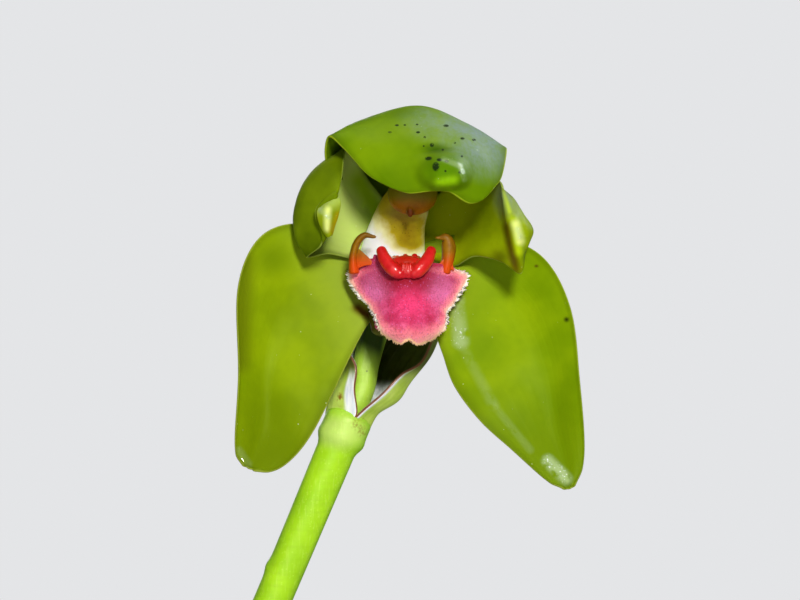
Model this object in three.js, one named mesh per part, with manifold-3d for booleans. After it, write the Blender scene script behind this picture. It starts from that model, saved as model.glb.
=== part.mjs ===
// A potted orchid in flower: a clay pot of bark, four ribbed pseudobulbs with pleated leaves,
// and one stout scape that carries a single hooded green flower with a fringed pink lip.
// Millimetres, +Z up, the flower faces -Y. The origin is the middle of the pot's underside.
import * as THREE from "three";
import { mergeVertices } from "three/addons/utils/BufferGeometryUtils.js";
import Module from "manifold-3d";

const wasm = await Module();
wasm.setup();

// Driving dimensions
const CLEAR = 0.35; // gap kept between pieces that touch
const POT_HEIGHT = 128;
const POT_FOOT_RADIUS = 52;
const POT_RIM_RADIUS = 80;
const POT_WALL = 6;
const POT_FLOOR = 9;
const RIM_BAND = 24;
const DRAIN_HOLES = 5;
const POT_SIDES = 40;
const BARK_TOP = 110;
const BARK_CHIPS = 25;
const BULB_HEIGHT = 88;
const BULB_HALF_WIDTH = 22;
const LEAF_HALF_WIDTH = 35;
const LEAF_PLEATS = 5;
const LEAF_THICK = 0.9;
const SCAPE_RADIUS = 5.1;
const TEPAL_THICK = 1.2;
const TEPAL_MARGIN = 0.7;
// The middle of the callus, which is the origin of the flower's own frame
const FLOWER = new THREE.Vector3(52, -30, 376);

// Materials
const finish = (color, roughness = 0.5, metalness = 0) =>
  new THREE.MeshStandardMaterial({ color, roughness, metalness });
const CLAY = finish(0xb0663f, 0.9);
const BARK = finish(0x5a3a25, 0.95);
const BULB_GREEN = finish(0x7f9a3c, 0.5);
const SHEATH_BROWN = finish(0xb79a6a, 0.8);
const LEAF_GREEN = finish(0x3f7a26, 0.45);
const SCAPE_GREEN = finish(0x9fd03a, 0.4);
const BRACT_GREEN = finish(0x88b234, 0.5);
const TEPAL_GREEN = finish(0x86a80c, 0.4);
const LIP_PINK = finish(0xd8456a, 0.6);
const CALLUS_RED = finish(0xcc1a14, 0.25);
const LOBE_ORANGE = finish(0xb5600c, 0.4);
const COLUMN_CREAM = finish(0xe6e2b0, 0.4);
const CAP_ORANGE = finish(0xb06a12, 0.45);

// Geometry helpers
const vec = (p) => new THREE.Vector3(...p);
const curve = (points) =>
  new THREE.CatmullRomCurve3(points.map((p) => (Array.isArray(p) ? vec(p) : p)), false, "catmullrom", 0.5);
const lerp = THREE.MathUtils.lerp;
const smooth = THREE.MathUtils.smoothstep;

// A repeatable stream of numbers from 0 to 1
function seeded(seed) {
  let state = seed;
  return () => {
    state = (state * 16807) % 2147483647;
    return state / 2147483647;
  };
}

// A closed geometry as a solid with its faces pointing out
function solidOf(geometry) {
  const bare = geometry.clone();
  for (const name of Object.keys(bare.attributes)) if (name !== "position") bare.deleteAttribute(name);
  const merged = mergeVertices(bare, 1e-4);
  const vertProperties = merged.attributes.position.array;
  const triVerts = new Uint32Array(merged.index.array);
  let solid = new wasm.Manifold(new wasm.Mesh({ numProp: 3, vertProperties, triVerts }));
  if (solid.volume() < 0) {
    for (let i = 0; i < triVerts.length; i += 3) {
      [triVerts[i + 1], triVerts[i + 2]] = [triVerts[i + 2], triVerts[i + 1]];
    }
    solid = new wasm.Manifold(new wasm.Mesh({ numProp: 3, vertProperties, triVerts }));
  }
  return solid;
}

// The largest body of a solid, so that a cut leaves no loose scrap
function largest(solid) {
  const bodies = solid.decompose();
  return bodies.reduce((best, body) => (body.volume() > best.volume() ? body : best));
}

const cutBy = (solid, ...cutters) => largest(cutters.reduce((left, cutter) => left.subtract(cutter), solid));
const join = (...solids) => solids.reduce((all, one) => all.add(one));

function meshOf(name, solid, material) {
  const { numProp, numVert, vertProperties, triVerts } = solid.getMesh();
  const position = new Float32Array(numVert * 3);
  for (let i = 0; i < numVert; i++) position.set(vertProperties.subarray(i * numProp, i * numProp + 3), i * 3);
  const geometry = new THREE.BufferGeometry();
  geometry.setAttribute("position", new THREE.BufferAttribute(position, 3));
  geometry.setIndex(new THREE.BufferAttribute(new Uint32Array(triVerts), 1));
  geometry.computeVertexNormals();
  const mesh = new THREE.Mesh(geometry, material);
  mesh.name = name;
  return mesh;
}

// A grid of points skinned over ribs. Each rib runs across the blade from one margin to the other.
function skin(ribs, along, across) {
  const rows = ribs.map((rib) => curve(rib).getPoints(across));
  const columns = rows[0].map((_, j) => curve(rows.map((row) => row[j])).getPoints(along));
  return Array.from({ length: along + 1 }, (_, i) => columns.map((column) => column[i]));
}

// A closed thin blade: the grid moved out by half the thickness on both faces, split alike.
function bladeSolid(grid, thickness) {
  const rows = grid.length;
  const width = grid[0].length;
  const vertices = [];
  const index = [];
  const at = (i, j) => grid[THREE.MathUtils.clamp(i, 0, rows - 1)][THREE.MathUtils.clamp(j, 0, width - 1)];
  for (const side of [0.5, -0.5]) {
    for (let i = 0; i < rows; i++) {
      for (let j = 0; j < width; j++) {
        const down = at(i + 1, j).clone().sub(at(i - 1, j));
        const over = at(i, j + 1).clone().sub(at(i, j - 1));
        const normal = down.cross(over).normalize();
        const thick = thickness(i / (rows - 1), j / (width - 1));
        vertices.push(...at(i, j).clone().addScaledVector(normal, side * thick));
      }
    }
  }
  const back = rows * width;
  const quad = (a, b, c, d) => index.push(a, b, c, a, c, d);
  for (let i = 0; i + 1 < rows; i++) {
    for (let j = 0; j + 1 < width; j++) {
      const [a, b, c, d] = [i * width + j, i * width + j + 1, (i + 1) * width + j + 1, (i + 1) * width + j];
      quad(a, b, c, d);
      index.push(back + a, back + c, back + b, back + a, back + d, back + c);
    }
  }
  const rim = [];
  for (let j = 0; j < width - 1; j++) rim.push(j);
  for (let i = 0; i < rows - 1; i++) rim.push(i * width + width - 1);
  for (let j = width - 1; j > 0; j--) rim.push((rows - 1) * width + j);
  for (let i = rows - 1; i > 0; i--) rim.push(i * width);
  rim.forEach((a, k) => {
    const b = rim[(k + 1) % rim.length];
    quad(b, a, a + back, b + back);
  });
  const geometry = new THREE.BufferGeometry();
  geometry.setAttribute("position", new THREE.Float32BufferAttribute(vertices, 3));
  geometry.setIndex(index);
  return solidOf(geometry);
}

// Full thickness inside, thinning to a fine margin at both sides and at the tip
function tepalThickness(u, v) {
  const inset = Math.min(v, 1 - v, 1.2 * (1 - u));
  return lerp(TEPAL_MARGIN, TEPAL_THICK, smooth(inset, 0, 0.18));
}

const tepal = (ribs, along, across) => bladeSolid(skin(ribs, along, across), tepalThickness);

// A closed limb along a path. half(t) gives its half width and half depth, ridge(t, angle) a factor on both.
function limb(points, { sides = 12, steps = 12, half, aim = [0, 1, 0], ridge = () => 1, grow = 0 }) {
  const path = curve(points);
  const geometry = new THREE.CylinderGeometry(1, 1, 1, sides, steps).toNonIndexed();
  const position = geometry.attributes.position;
  const toward = vec(aim);
  for (let k = 0; k < position.count; k++) {
    const t = THREE.MathUtils.clamp(position.getY(k) + 0.5, 0, 1);
    const [x, y] = [position.getX(k), position.getZ(k)];
    const tangent = path.getTangent(t);
    const side = toward.clone().cross(tangent).normalize();
    const front = tangent.clone().cross(side);
    const [wide, deep] = half(t);
    const factor = ridge(t, Math.atan2(y, x));
    const end = t === 0 ? -grow : t === 1 ? grow : 0;
    const point = path.getPoint(t).addScaledVector(tangent, end);
    point.addScaledVector(side, x * (wide * factor + grow)).addScaledVector(front, y * (deep * factor + grow));
    position.setXYZ(k, ...point);
  }
  return solidOf(geometry);
}

// Values spread evenly along a limb, joined by straight lines
const ramp = (...values) => (t) => {
  const place = t * (values.length - 1);
  const k = Math.min(Math.floor(place), values.length - 2);
  return lerp(values[k], values[k + 1], place - k);
};
const halves = (wides, deeps) => {
  const [wide, deep] = [ramp(...wides), ramp(...deeps)];
  return (t) => [wide(t), deep(t)];
};
const round = (...radii) => halves(radii, radii);

// The same, but joined by a smooth curve
const flowing = (...values) => {
  const shape = new THREE.SplineCurve(values.map((value, k) => new THREE.Vector2(k, value)));
  return (t) => shape.getPoint(THREE.MathUtils.clamp(t, 0, 1)).y;
};

// A smooth round lump with three half sizes, turned by Euler angles
function lump(centre, [a, b, c], turn = [0, 0, 0], detail = 12) {
  const geometry = new THREE.SphereGeometry(1, detail, Math.round(detail * 0.65));
  geometry.scale(a, b, c).rotateX(turn[0]).rotateY(turn[1]).rotateZ(turn[2]).translate(...centre);
  return solidOf(geometry);
}

// Flower, in its own frame: x right, y back, z up, origin at the middle of the callus.
// A tepal's ribs run from its base to its tip, each from the left or upper margin to the right or lower one.
const DORSAL_RIBS = [
  [[-6, 19, 8.5], [-4, 22, 7.5], [0, 23.5, 7], [4, 22, 7.5], [6, 19, 8.5]],
  [[-14, 14, 18], [-8, 23, 23], [1, 26, 25], [11, 23, 22], [17, 14, 18]],
  [[-19.5, 6, 25.5], [-12.5, 14, 34], [1.5, 18, 37.8], [15, 14, 33], [23, 6, 25]],
  [[-19.3, -1, 32.6], [-10.5, 5, 37], [3, 8, 40.6], [15.3, 5, 36.2], [25.4, -1, 29.6]],
  [[-15, -4, 29.2], [-6.3, -5, 30.8], [5.5, -3, 34], [16.5, -6, 29.5], [24, -5, 22.5]],
  [[-9.2, -7, 22.8], [-2.5, -9, 22.8], [8, -10, 26.5], [17, -9, 22.6], [20.8, -7.5, 18.6]],
  [[-3.5, -9.5, 19.4], [2, -11.5, 19.6], [9.6, -14, 20.4], [14.4, -11.5, 18.6], [17.2, -9, 17.3]],
];
const SEPAL_LEFT_RIBS = [
  [[-2, 19, 6], [-5, 19.5, -1], [-2, 17, -8]],
  [[-14, 15, 10.5], [-12.5, 13.5, -3], [-8.6, 9, -13.2]],
  [[-26, 9, 11.4], [-21.5, 9, -4], [-13.3, 3.5, -21.5]],
  [[-36.5, 4, 8], [-29.5, 5, -11], [-18.2, 0, -31.8]],
  [[-41.8, 0, -4.5], [-34, 2, -23], [-22.5, -3, -40.3]],
  [[-41.3, -4, -27], [-35, -1, -37.5], [-26.5, -5, -46]],
  [[-42, -7, -42], [-37.5, -5.5, -46.5], [-31, -6.5, -49.7]],
  [[-41.5, -8, -48.2], [-38.5, -8, -49.6], [-35.6, -8, -50.8]],
];
const SEPAL_RIGHT_RIBS = [
  [[2, 19, 6], [5, 19.5, -1], [1, 17, -9]],
  [[14, 15, 9], [12.5, 13.5, -3], [6.5, 9, -14.6]],
  [[26, 10, 7.6], [21.5, 10, -5], [9.2, 5, -21]],
  [[35.5, 5, 2.2], [29.5, 6, -13], [12.2, 1, -29.5]],
  [[41.5, 1, -10], [34.5, 2, -25], [18.5, -3, -38]],
  [[43.4, -3, -27], [37, -1, -38], [26.5, -5, -45.3]],
  [[44.4, -6, -44], [39.5, -5.5, -48.5], [33, -7, -51]],
  [[43.2, -8, -53], [40.5, -8.5, -54.6], [37.6, -8.5, -54.4]],
];
const PETAL_LEFT_RIBS = [
  [[-2, 18, 14], [-3.5, 19, 11.5], [-4.5, 19.5, 9], [-4.5, 19, 6.5], [-4, 18, 4]],
  [[-10, 15, 24], [-13, 16, 18], [-14.5, 16, 12.5], [-14, 15.5, 7], [-12, 14, 2.5]],
  [[-15.5, 9, 29], [-20.5, 9.5, 24.5], [-23, 9.5, 17], [-22.5, 9, 9.5], [-19, 8, 3.6]],
  [[-17.5, 3, 26.8], [-23.8, 3.4, 22.2], [-27.2, 3, 14.5], [-27, 2.4, 8], [-24.4, 1.5, 2.6]],
  [[-16, -3, 21], [-17.2, -5, 17.4], [-17.8, -6, 13.2], [-18.8, -6, 9.4], [-21, -4.5, 5.4]],
  [[-18.2, -5, 18.4], [-20.4, -5.6, 16.8], [-22.2, -6, 14.4], [-22, -6, 11.6], [-20.6, -6, 9.2]],
];
const PETAL_RIGHT_RIBS = [
  [[2, 18, 14], [4.5, 19.5, 9], [4, 18, 4]],
  [[11, 15, 21], [13.5, 15.5, 10.5], [12, 14, 0.5]],
  [[18, 8, 24], [19.8, 8, 12], [17.5, 6, 3]],
  [[23, 0, 22], [24.6, -1, 11.5], [24, -2, 1.4]],
  [[24.4, -3, 19.6], [26, -6, 9.5], [28.6, -6, -1.6]],
  [[27, -2, 17.4], [29.4, -5, 9], [29.6, -5, 3.2]],
  [[29.4, 0, 13.4], [31.8, -2, 9.6], [31, -3, 6.6]],
];

// The hood ends in a thick blunt beak
const beak = () =>
  join(
    lump([9.4, -12.8, 23.8], [5.2, 3.6, 4], [0.5, 0.15, 0.25]),
    lump([12, -14.4, 22], [3.4, 3, 2.7], [0.5, 0.1, 0.3], 10),
  );

// The knob on top of the ovary that all the tepals grow from
const receptacle = () => lump([0, 19.5, 6], [5.4, 5.2, 8], [0.1, 0, 0], 10);

// The five tepals of one bloom, joined at the receptacle
const tepals = () =>
  join(
    receptacle(),
    tepal(DORSAL_RIBS, 12, 12),
    beak(),
    tepal(PETAL_LEFT_RIBS, 11, 8),
    tepal(PETAL_RIGHT_RIBS, 12, 8),
    tepal(SEPAL_LEFT_RIBS, 12, 8),
    tepal(SEPAL_RIGHT_RIBS, 12, 8),
  );

// The ovary rises from the bract and bends forward into the receptacle
const OVARY_PATH = [
  [-13.9, 17.4, -38.1], [-12.4, 18, -34.5], [-10.8, 19, -30], [-9.9, 20.4, -24], [-7.5, 22, -15], [-3.6, 22.4, -6.5],
  [-1.4, 21, 0],
];
const ovary = (grow = 0) =>
  limb(OVARY_PATH, { sides: 12, steps: 10, half: round(2.8, 3.2, 3.2, 3.3, 3.6, 4.1, 4.2), grow });

// The column leans forward over the lip, and its foot runs down to the lip's base
const COLUMN_PATH = [[-3.4, 14, 1.6], [-2.6, 12.4, 7], [-1.4, 9.6, 12], [0.4, 6.8, 16.5], [2, 6, 20.5]];
const FOOT_PATH = [[-1.5, 13, 4], [-3, 12, -4], [-4.6, 9.6, -11], [-5, 7.4, -16]];
const column = (grow = 0) =>
  join(
    limb(COLUMN_PATH, { sides: 14, steps: 8, half: halves([8.6, 7.8, 6.8, 6, 4.6], [4.6, 4.2, 3.6, 3.2, 2.4]), grow }),
    limb(FOOT_PATH, { sides: 12, steps: 5, half: halves([6, 5.4, 4.8, 3.6], [2.6, 3, 3, 2.8]), grow }),
  );
const antherCap = (grow = 0) =>
  join(
    lump([1.9, 1.6, 18.6], [6.3 + grow, 4.6 + grow, 5.4 + grow], [0.2, 0, 0]),
    lump([1.3, -1, 14], [1.2 + grow, 1.6 + grow, 1.4 + grow], [0, 0, 0], 8),
  );

// The lip's middle lobe: its margin as seen from the front, anticlockwise from the upper left corner
const LIP_MARGIN = [
  [-15.2, -0.8], [-14.6, -3.6], [-13.4, -5.8], [-11.8, -7.8], [-10, -9.2], [-9, -11], [-8.1, -13], [-7, -15.4],
  [-5, -17.4], [-1.4, -19.3], [0.8, -18], [3.2, -19.5], [6.8, -18.2], [10.4, -15.4], [11.3, -13.4], [11, -11.6],
  [12.4, -9.8], [14.4, -7], [15.9, -4.8], [16.5, -1.2], [13, 0.4], [9.4, 1.8], [6.4, 2.4], [0, 2], [-5.6, 2.6],
  [-9.4, 2.2], [-12.6, 0.9],
];
const LIP_HEART = [0.6, -6.5];
const FRINGE_DEPTH = 0.8;
const LIP_TEETH = 38;
const LIP_RINGS = [[0, 1.8], [0.4, 1.7], [0.75, 1.4], [1, 0.7]]; // share of the way out, and thickness there

// How far forward the lip stands at a place seen from the front
function lipDepth(x, z) {
  const wing = Math.abs(x - LIP_HEART[0]) / 15;
  const ridge = 5 * Math.exp(-((x - LIP_HEART[0]) ** 2) / 60);
  return 1.5 - ridge - 4.5 * smooth(-z, 4, 20) + 5.5 * wing ** 2 + 3.2 * smooth(-z, 15, 20);
}

function lipBlade(grow = 0) {
  const edge = new THREE.SplineCurve([...LIP_MARGIN, LIP_MARGIN[0]].map(([x, z]) => new THREE.Vector2(x, z)));
  const around = LIP_TEETH * 2;
  const front = [];
  const back = [];
  for (const [share, thick] of LIP_RINGS) {
    for (let k = 0; k < around; k++) {
      const [x, z] = edge.getPoint(k / around).toArray();
      const reach = Math.hypot(x - LIP_HEART[0], z - LIP_HEART[1]);
      const notch = z < 0 && k % 2 === 1 ? FRINGE_DEPTH : 0;
      const out = share === 1 ? 1 + (grow - notch) / reach : share;
      const [px, pz] = [lerp(LIP_HEART[0], x, out), lerp(LIP_HEART[1], z, out)];
      const y = lipDepth(px, pz);
      front.push(px, y - thick / 2 - grow, pz);
      back.push(px, y + thick / 2 + grow, pz);
    }
  }
  const behind = front.length / 3;
  const index = [];
  for (let r = 0; r + 1 < LIP_RINGS.length; r++) {
    for (let k = 0; k < around; k++) {
      const next = (k + 1) % around;
      const [a, b, c, d] = [r * around + k, r * around + next, (r + 1) * around + next, (r + 1) * around + k];
      index.push(a, c, d, behind + a, behind + d, behind + c);
      if (r > 0) index.push(a, b, c, behind + a, behind + c, behind + b);
      if (r + 2 === LIP_RINGS.length) index.push(d, c, c + behind, d, c + behind, d + behind);
    }
  }
  const geometry = new THREE.BufferGeometry();
  geometry.setAttribute("position", new THREE.Float32BufferAttribute([...front, ...back], 3));
  geometry.setIndex(index);
  return solidOf(geometry);
}

// The claw rises from the column's foot and turns over into the middle lobe
const CLAW_PATH = [[-4.6, 4.6, -15.4], [-4, 4.2, -11.5], [-2.4, 3.6, -6.5], [-0.4, 2.6, -2.5], [0.6, 0.6, 0.2]];
const claw = (grow = 0) =>
  limb(CLAW_PATH, { sides: 10, steps: 6, half: halves([3, 4.2, 6.4, 8.4, 9], [1, 0.9, 0.9, 1, 1]), grow });
const lip = (grow = 0) => join(lipBlade(grow), claw(grow));

// Two horns and a ribbed saddle between them
const HORN_LEFT = [[-6.3, -1.5, 5.4], [-5.6, -2.8, 2.2], [-4, -4.2, -0.5], [-1.6, -4.8, -1.8], [0.4, -4.9, -2]];
const HORN_RIGHT = [[6.5, -1.5, 5.1], [5.8, -2.8, 2], [4.2, -4.2, -0.7], [1.8, -4.8, -1.9], [-0.2, -4.9, -2]];
const SADDLE_RIDGES = [-2.5, -0.9, 0.9, 2.5];
function callus(grow = 0) {
  const horn = { sides: 8, steps: 6, half: round(0.9, 1.4, 1.5, 1.5, 1.2), grow };
  const ridges = SADDLE_RIDGES.map((x) =>
    limb([[x * 1.3, 1.5, 3.2], [x * 1.2, -2.4, 2], [x, -4.6, -0.6], [x, -4.8, -2]], {
      sides: 6, steps: 3, half: round(0.9, 1.2, 1.1, 0.9), grow,
    }),
  );
  return join(limb(HORN_LEFT, horn), limb(HORN_RIGHT, horn), ...ridges);
}

// The lip's side lobes stand up beside the column and end in hooks that turn towards it
const LOBE_LEFT = [[-12.8, 3.2, -1], [-13, 3.2, 3], [-12, 2.8, 6.4], [-10.2, 2.2, 8.2], [-8, 1.8, 7.9]];
const LOBE_RIGHT = [[10.2, 3.2, -1], [10.8, 3.2, 2.4], [11, 2.8, 5.4], [10.2, 2.2, 7.5], [8.4, 1.8, 7.6]];
const sideLobe = (path, grow = 0) =>
  limb(path, { sides: 8, steps: 8, half: halves([1.6, 1.4, 1.4, 1.1, 0.5], [3.4, 3, 2, 1.2, 0.6]), grow });

// The bract wraps the ovary's foot and stands open to the right, its ribs from margin to margin round the back
const BRACT_RIBS = [
  [[-12.2, 12.6, -37.8], [-17.6, 16, -39.6], [-14, 22.6, -40], [-9, 18.4, -39.4], [-11.4, 12.8, -37.8]],
  [[-12.8, 13, -31], [-18.4, 18, -33], [-11.8, 26, -33], [-3.4, 19.4, -34.4], [-5.6, 13, -31.6]],
  [[-12.5, 13.6, -25], [-16, 20, -26.4], [-8.4, 28.4, -25], [1, 21.6, -29], [-0.6, 14.4, -27]],
  [[-12.8, 17.6, -20.4], [-12.6, 24, -19.6], [-3.4, 29.6, -17.4], [6, 25, -21.8], [4.6, 17.4, -23.4]],
  [[0.5, 28, -12], [3, 30, -11.4], [7, 30.4, -11.2], [10, 28, -13], [8.8, 24.8, -14]],
  [[10, 28.5, -8.6], [10.6, 29, -8.4], [11.2, 29, -8.2], [11.8, 28.4, -8.6], [11.6, 27.8, -8.8]],
];
const floralBract = () => bladeSolid(skin(BRACT_RIBS, 8, 12), () => 0.9);

// Scape: upright at its foot in the bark, leaning right to the ringed joint under the bract
const SCAPE_PATH = [
  [-24, -33, 96], [-24, -33, 122], [-23, -31, 150], [-15.5, -26, 200], [-0.5, -20, 250], [17.6, -15.5, 293],
  [37.4, -12.6, 337],
];
const scapeRadius = ramp(5.6, 5.5, 5.2, 4.9, 4.7, 4.5, 4.6, 4.8, SCAPE_RADIUS);
const scapeJoint = (t) => 0.9 * smooth(t, 0.965, 0.985);
const scape = (grow = 0, from = [0, 0, 0]) =>
  limb(SCAPE_PATH.map((p) => p.map((value, k) => value - from[k])), {
    sides: 12,
    steps: 20,
    half: (t) => [scapeRadius(t) + scapeJoint(t), scapeRadius(t) + scapeJoint(t)],
    grow,
  });

// A sheath that wraps the scape over a stretch of its path and opens to a point
const SHEATH_STRETCHES = [[0.14, 0.27, 0.6], [0.34, 0.46, 3.4], [0.54, 0.65, 5.4]]; // start, end, way it faces
const SHEATH_THICK = 0.9;
function scapeSheath([from, to, facing]) {
  const path = curve(SCAPE_PATH);
  const rows = 5;
  const columns = 10;
  const grid = Array.from({ length: rows + 1 }, (_, i) => {
    const s = i / rows;
    const t = lerp(from, to, s);
    const tangent = path.getTangent(t);
    const side = new THREE.Vector3(0, 1, 0).cross(tangent).normalize();
    const front = tangent.clone().cross(side);
    const radius = scapeRadius(t) + CLEAR + SHEATH_THICK / 2 + 0.4 + 1.8 * s * s;
    const spread = lerp(0.96, 0.12, s ** 1.5) * Math.PI;
    return Array.from({ length: columns + 1 }, (_, j) => {
      const angle = facing + spread * ((2 * j) / columns - 1);
      const point = path.getPoint(t).addScaledVector(side, radius * Math.cos(angle));
      return point.addScaledVector(front, radius * Math.sin(angle));
    });
  });
  return bladeSolid(grid, () => SHEATH_THICK);
}

// Pseudobulbs: where each stands, the way its broad side faces in degrees, and its share of the full height
const BULBS = [
  { foot: [-20, -2], turn: 80, size: 1 },
  { foot: [15, 13], turn: 100, size: 0.97 },
  { foot: [46, 2], turn: 95, size: 0.88 },
  { foot: [-12, 46], turn: 20, size: 0.92 },
];
const BULB_RIBS = 8;
const BULB_STEPS = 9;
const BULB_FOOT = BARK_TOP - 7;
const bulbWide = flowing(13, 19.5, 22, 21.5, 18, 12, 5.4);
const bulbDeep = flowing(10, 13.5, 14.5, 14, 12, 8.5, 4.6);
const bulbRidge = (t, around) => 1 + 0.05 * Math.sin(Math.PI * t) * Math.cos(BULB_RIBS * around);
function bulb({ foot: [x, y], turn, size }, grow = 0) {
  const height = BULB_HEIGHT * size;
  const angle = THREE.MathUtils.degToRad(turn);
  return limb([[x, y, BULB_FOOT], [x, y, BULB_FOOT + height / 2], [x, y, BULB_FOOT + height]], {
    sides: BULB_RIBS * 2,
    steps: BULB_STEPS,
    aim: [Math.sin(angle), Math.cos(angle), 0],
    half: (t) => [bulbWide(t) * size, bulbDeep(t) * size],
    ridge: bulbRidge,
    grow,
  });
}

// A dry sheath that still hugs the foot of a bulb, open along one rib, its upper edge torn
const SHEATH_OUT = CLEAR + 0.5 + SHEATH_THICK / 2;
function bulbSheath({ foot: [x, y], turn, size }, seed) {
  const random = seeded(seed);
  const columns = BULB_RIBS * 2;
  const tears = Array.from({ length: columns }, () => 0.26 + 0.16 * random());
  const angle = THREE.MathUtils.degToRad(turn);
  const grid = [0.03, 1 / BULB_STEPS, 2 / BULB_STEPS, 1].map((height) =>
    tears.map((tear, j) => {
      const t = Math.min(height, tear);
      const around = (j / columns) * 2 * Math.PI;
      const factor = bulbRidge(t, around) * size;
      const out = SHEATH_OUT + (height === 1 ? 0.5 : 0);
      const [u, v] = [bulbWide(t) * factor + out, bulbDeep(t) * factor + out];
      const point = new THREE.Vector3(u * Math.cos(around), v * Math.sin(around), BULB_FOOT + BULB_HEIGHT * size * t);
      return point.applyAxisAngle(new THREE.Vector3(0, 0, 1), -angle).add(new THREE.Vector3(x, y, 0));
    }),
  );
  return bladeSolid(grid, () => SHEATH_THICK);
}

// Leaves: a channelled stalk opens into a long pleated blade. Each is given by its midrib from the bulb's top.
const LEAVES = [
  { midrib: [[-24, -7, 187], [-47, -8, 222], [-86, -9, 250], [-140, -14, 262], [-200, -20, 246], [-256, -27, 206]] },
  { midrib: [[-18, 4, 187], [-31, 31, 224], [-58, 72, 250], [-90, 122, 256], [-118, 175, 238], [-140, 226, 198]] },
  { midrib: [[17, 15, 184], [38, 36, 218], [76, 66, 240], [126, 102, 244], [180, 138, 228], [230, 170, 192]] },
  { midrib: [[49, 1, 176], [76, -6, 205], [118, -19, 224], [170, -36, 224], [222, -52, 202], [264, -64, 162]] },
  { midrib: [[-12, 49, 180], [-8, 76, 212], [2, 120, 234], [16, 170, 234], [28, 220, 214], [38, 264, 178]] },
];
const leafSpread = flowing(0.13, 0.16, 0.44, 0.78, 0.97, 1, 0.93, 0.76, 0.5, 0.24, 0.04);
const leafChannel = flowing(1, 0.8, 0.45, 0.25, 0.15, 0.1, 0.1, 0.12, 0.15, 0.15, 0.1);
function leaf({ midrib }) {
  const spine = curve(midrib);
  const rows = 10;
  const columns = LEAF_PLEATS * 2;
  const grid = Array.from({ length: rows + 1 }, (_, i) => {
    const t = i / rows;
    const centre = spine.getPointAt(t);
    const tangent = spine.getTangentAt(t);
    const side = tangent.clone().cross(new THREE.Vector3(0, 0, 1)).normalize();
    const up = side.clone().cross(tangent);
    const half = LEAF_HALF_WIDTH * leafSpread(t);
    return Array.from({ length: columns + 1 }, (_, j) => {
      const v = (2 * j) / columns - 1;
      const pleat = (j % 2 ? -1 : 1) * Math.min(1.7, half * 0.1);
      const lift = half * leafChannel(t) * v * v;
      return centre.clone().addScaledVector(side, half * v).addScaledVector(up, lift + pleat);
    });
  });
  return bladeSolid(grid, () => LEAF_THICK);
}

// Pot and bark
const potInner = (z) => lerp(POT_FOOT_RADIUS, POT_RIM_RADIUS - 5, z / POT_HEIGHT) - POT_WALL;
const lathe = (outline, sides) =>
  solidOf(new THREE.LatheGeometry(outline.map((p) => new THREE.Vector2(...p)), sides).rotateX(Math.PI / 2));
const pillar = (radius, height, x, y, z, sides) =>
  solidOf(new THREE.CylinderGeometry(radius, radius, height, sides).rotateX(Math.PI / 2).translate(x, y, z));
function pot() {
  const band = POT_HEIGHT - RIM_BAND;
  const outline = [
    [0, 0], [POT_FOOT_RADIUS - 2, 0], [POT_FOOT_RADIUS, 2], [potInner(band) + POT_WALL, band],
    [POT_RIM_RADIUS - 2, band + 1], [POT_RIM_RADIUS - 0.6, band + 3], [POT_RIM_RADIUS, POT_HEIGHT - 3],
    [POT_RIM_RADIUS - 2, POT_HEIGHT], [potInner(POT_HEIGHT) + 1.5, POT_HEIGHT], [potInner(POT_HEIGHT), POT_HEIGHT - 2],
    [potInner(POT_FLOOR), POT_FLOOR], [0, POT_FLOOR],
  ];
  const holes = Array.from({ length: DRAIN_HOLES }, (_, k) => {
    const angle = (k / DRAIN_HOLES) * 2 * Math.PI;
    return pillar(5.5, 3 * POT_FLOOR, 30 * Math.cos(angle), 30 * Math.sin(angle), 0, 10);
  });
  return cutBy(lathe(outline, POT_SIDES), ...holes);
}

// A plug of bark with chips lying over its top, laid out in a spiral so that they cover it evenly
function bark() {
  const top = BARK_TOP - 4;
  const floor = POT_FLOOR + CLEAR;
  const inner = (z) => potInner(z) - CLEAR;
  const plug = lathe([[0, floor], [inner(floor), floor], [inner(top), top], [0, top]], POT_SIDES);
  const room = lathe([[0, 0], [inner(0), 0], [inner(POT_HEIGHT), POT_HEIGHT], [0, POT_HEIGHT]], POT_SIDES);
  const random = seeded(4711);
  const chips = Array.from({ length: BARK_CHIPS }, (_, k) => {
    const far = inner(top) * Math.sqrt((k + 0.5) / BARK_CHIPS);
    const angle = k * 2.39996;
    const chip = new THREE.BoxGeometry(26 + 14 * random(), 16 + 8 * random(), 6 + 4 * random());
    chip.rotateX(0.7 * random() - 0.35).rotateY(0.7 * random() - 0.35).rotateZ(2 * Math.PI * random());
    return solidOf(chip.translate(far * Math.cos(angle), far * Math.sin(angle), top + 3 * random()));
  });
  return join(plug, ...chips).intersect(room);
}

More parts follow.
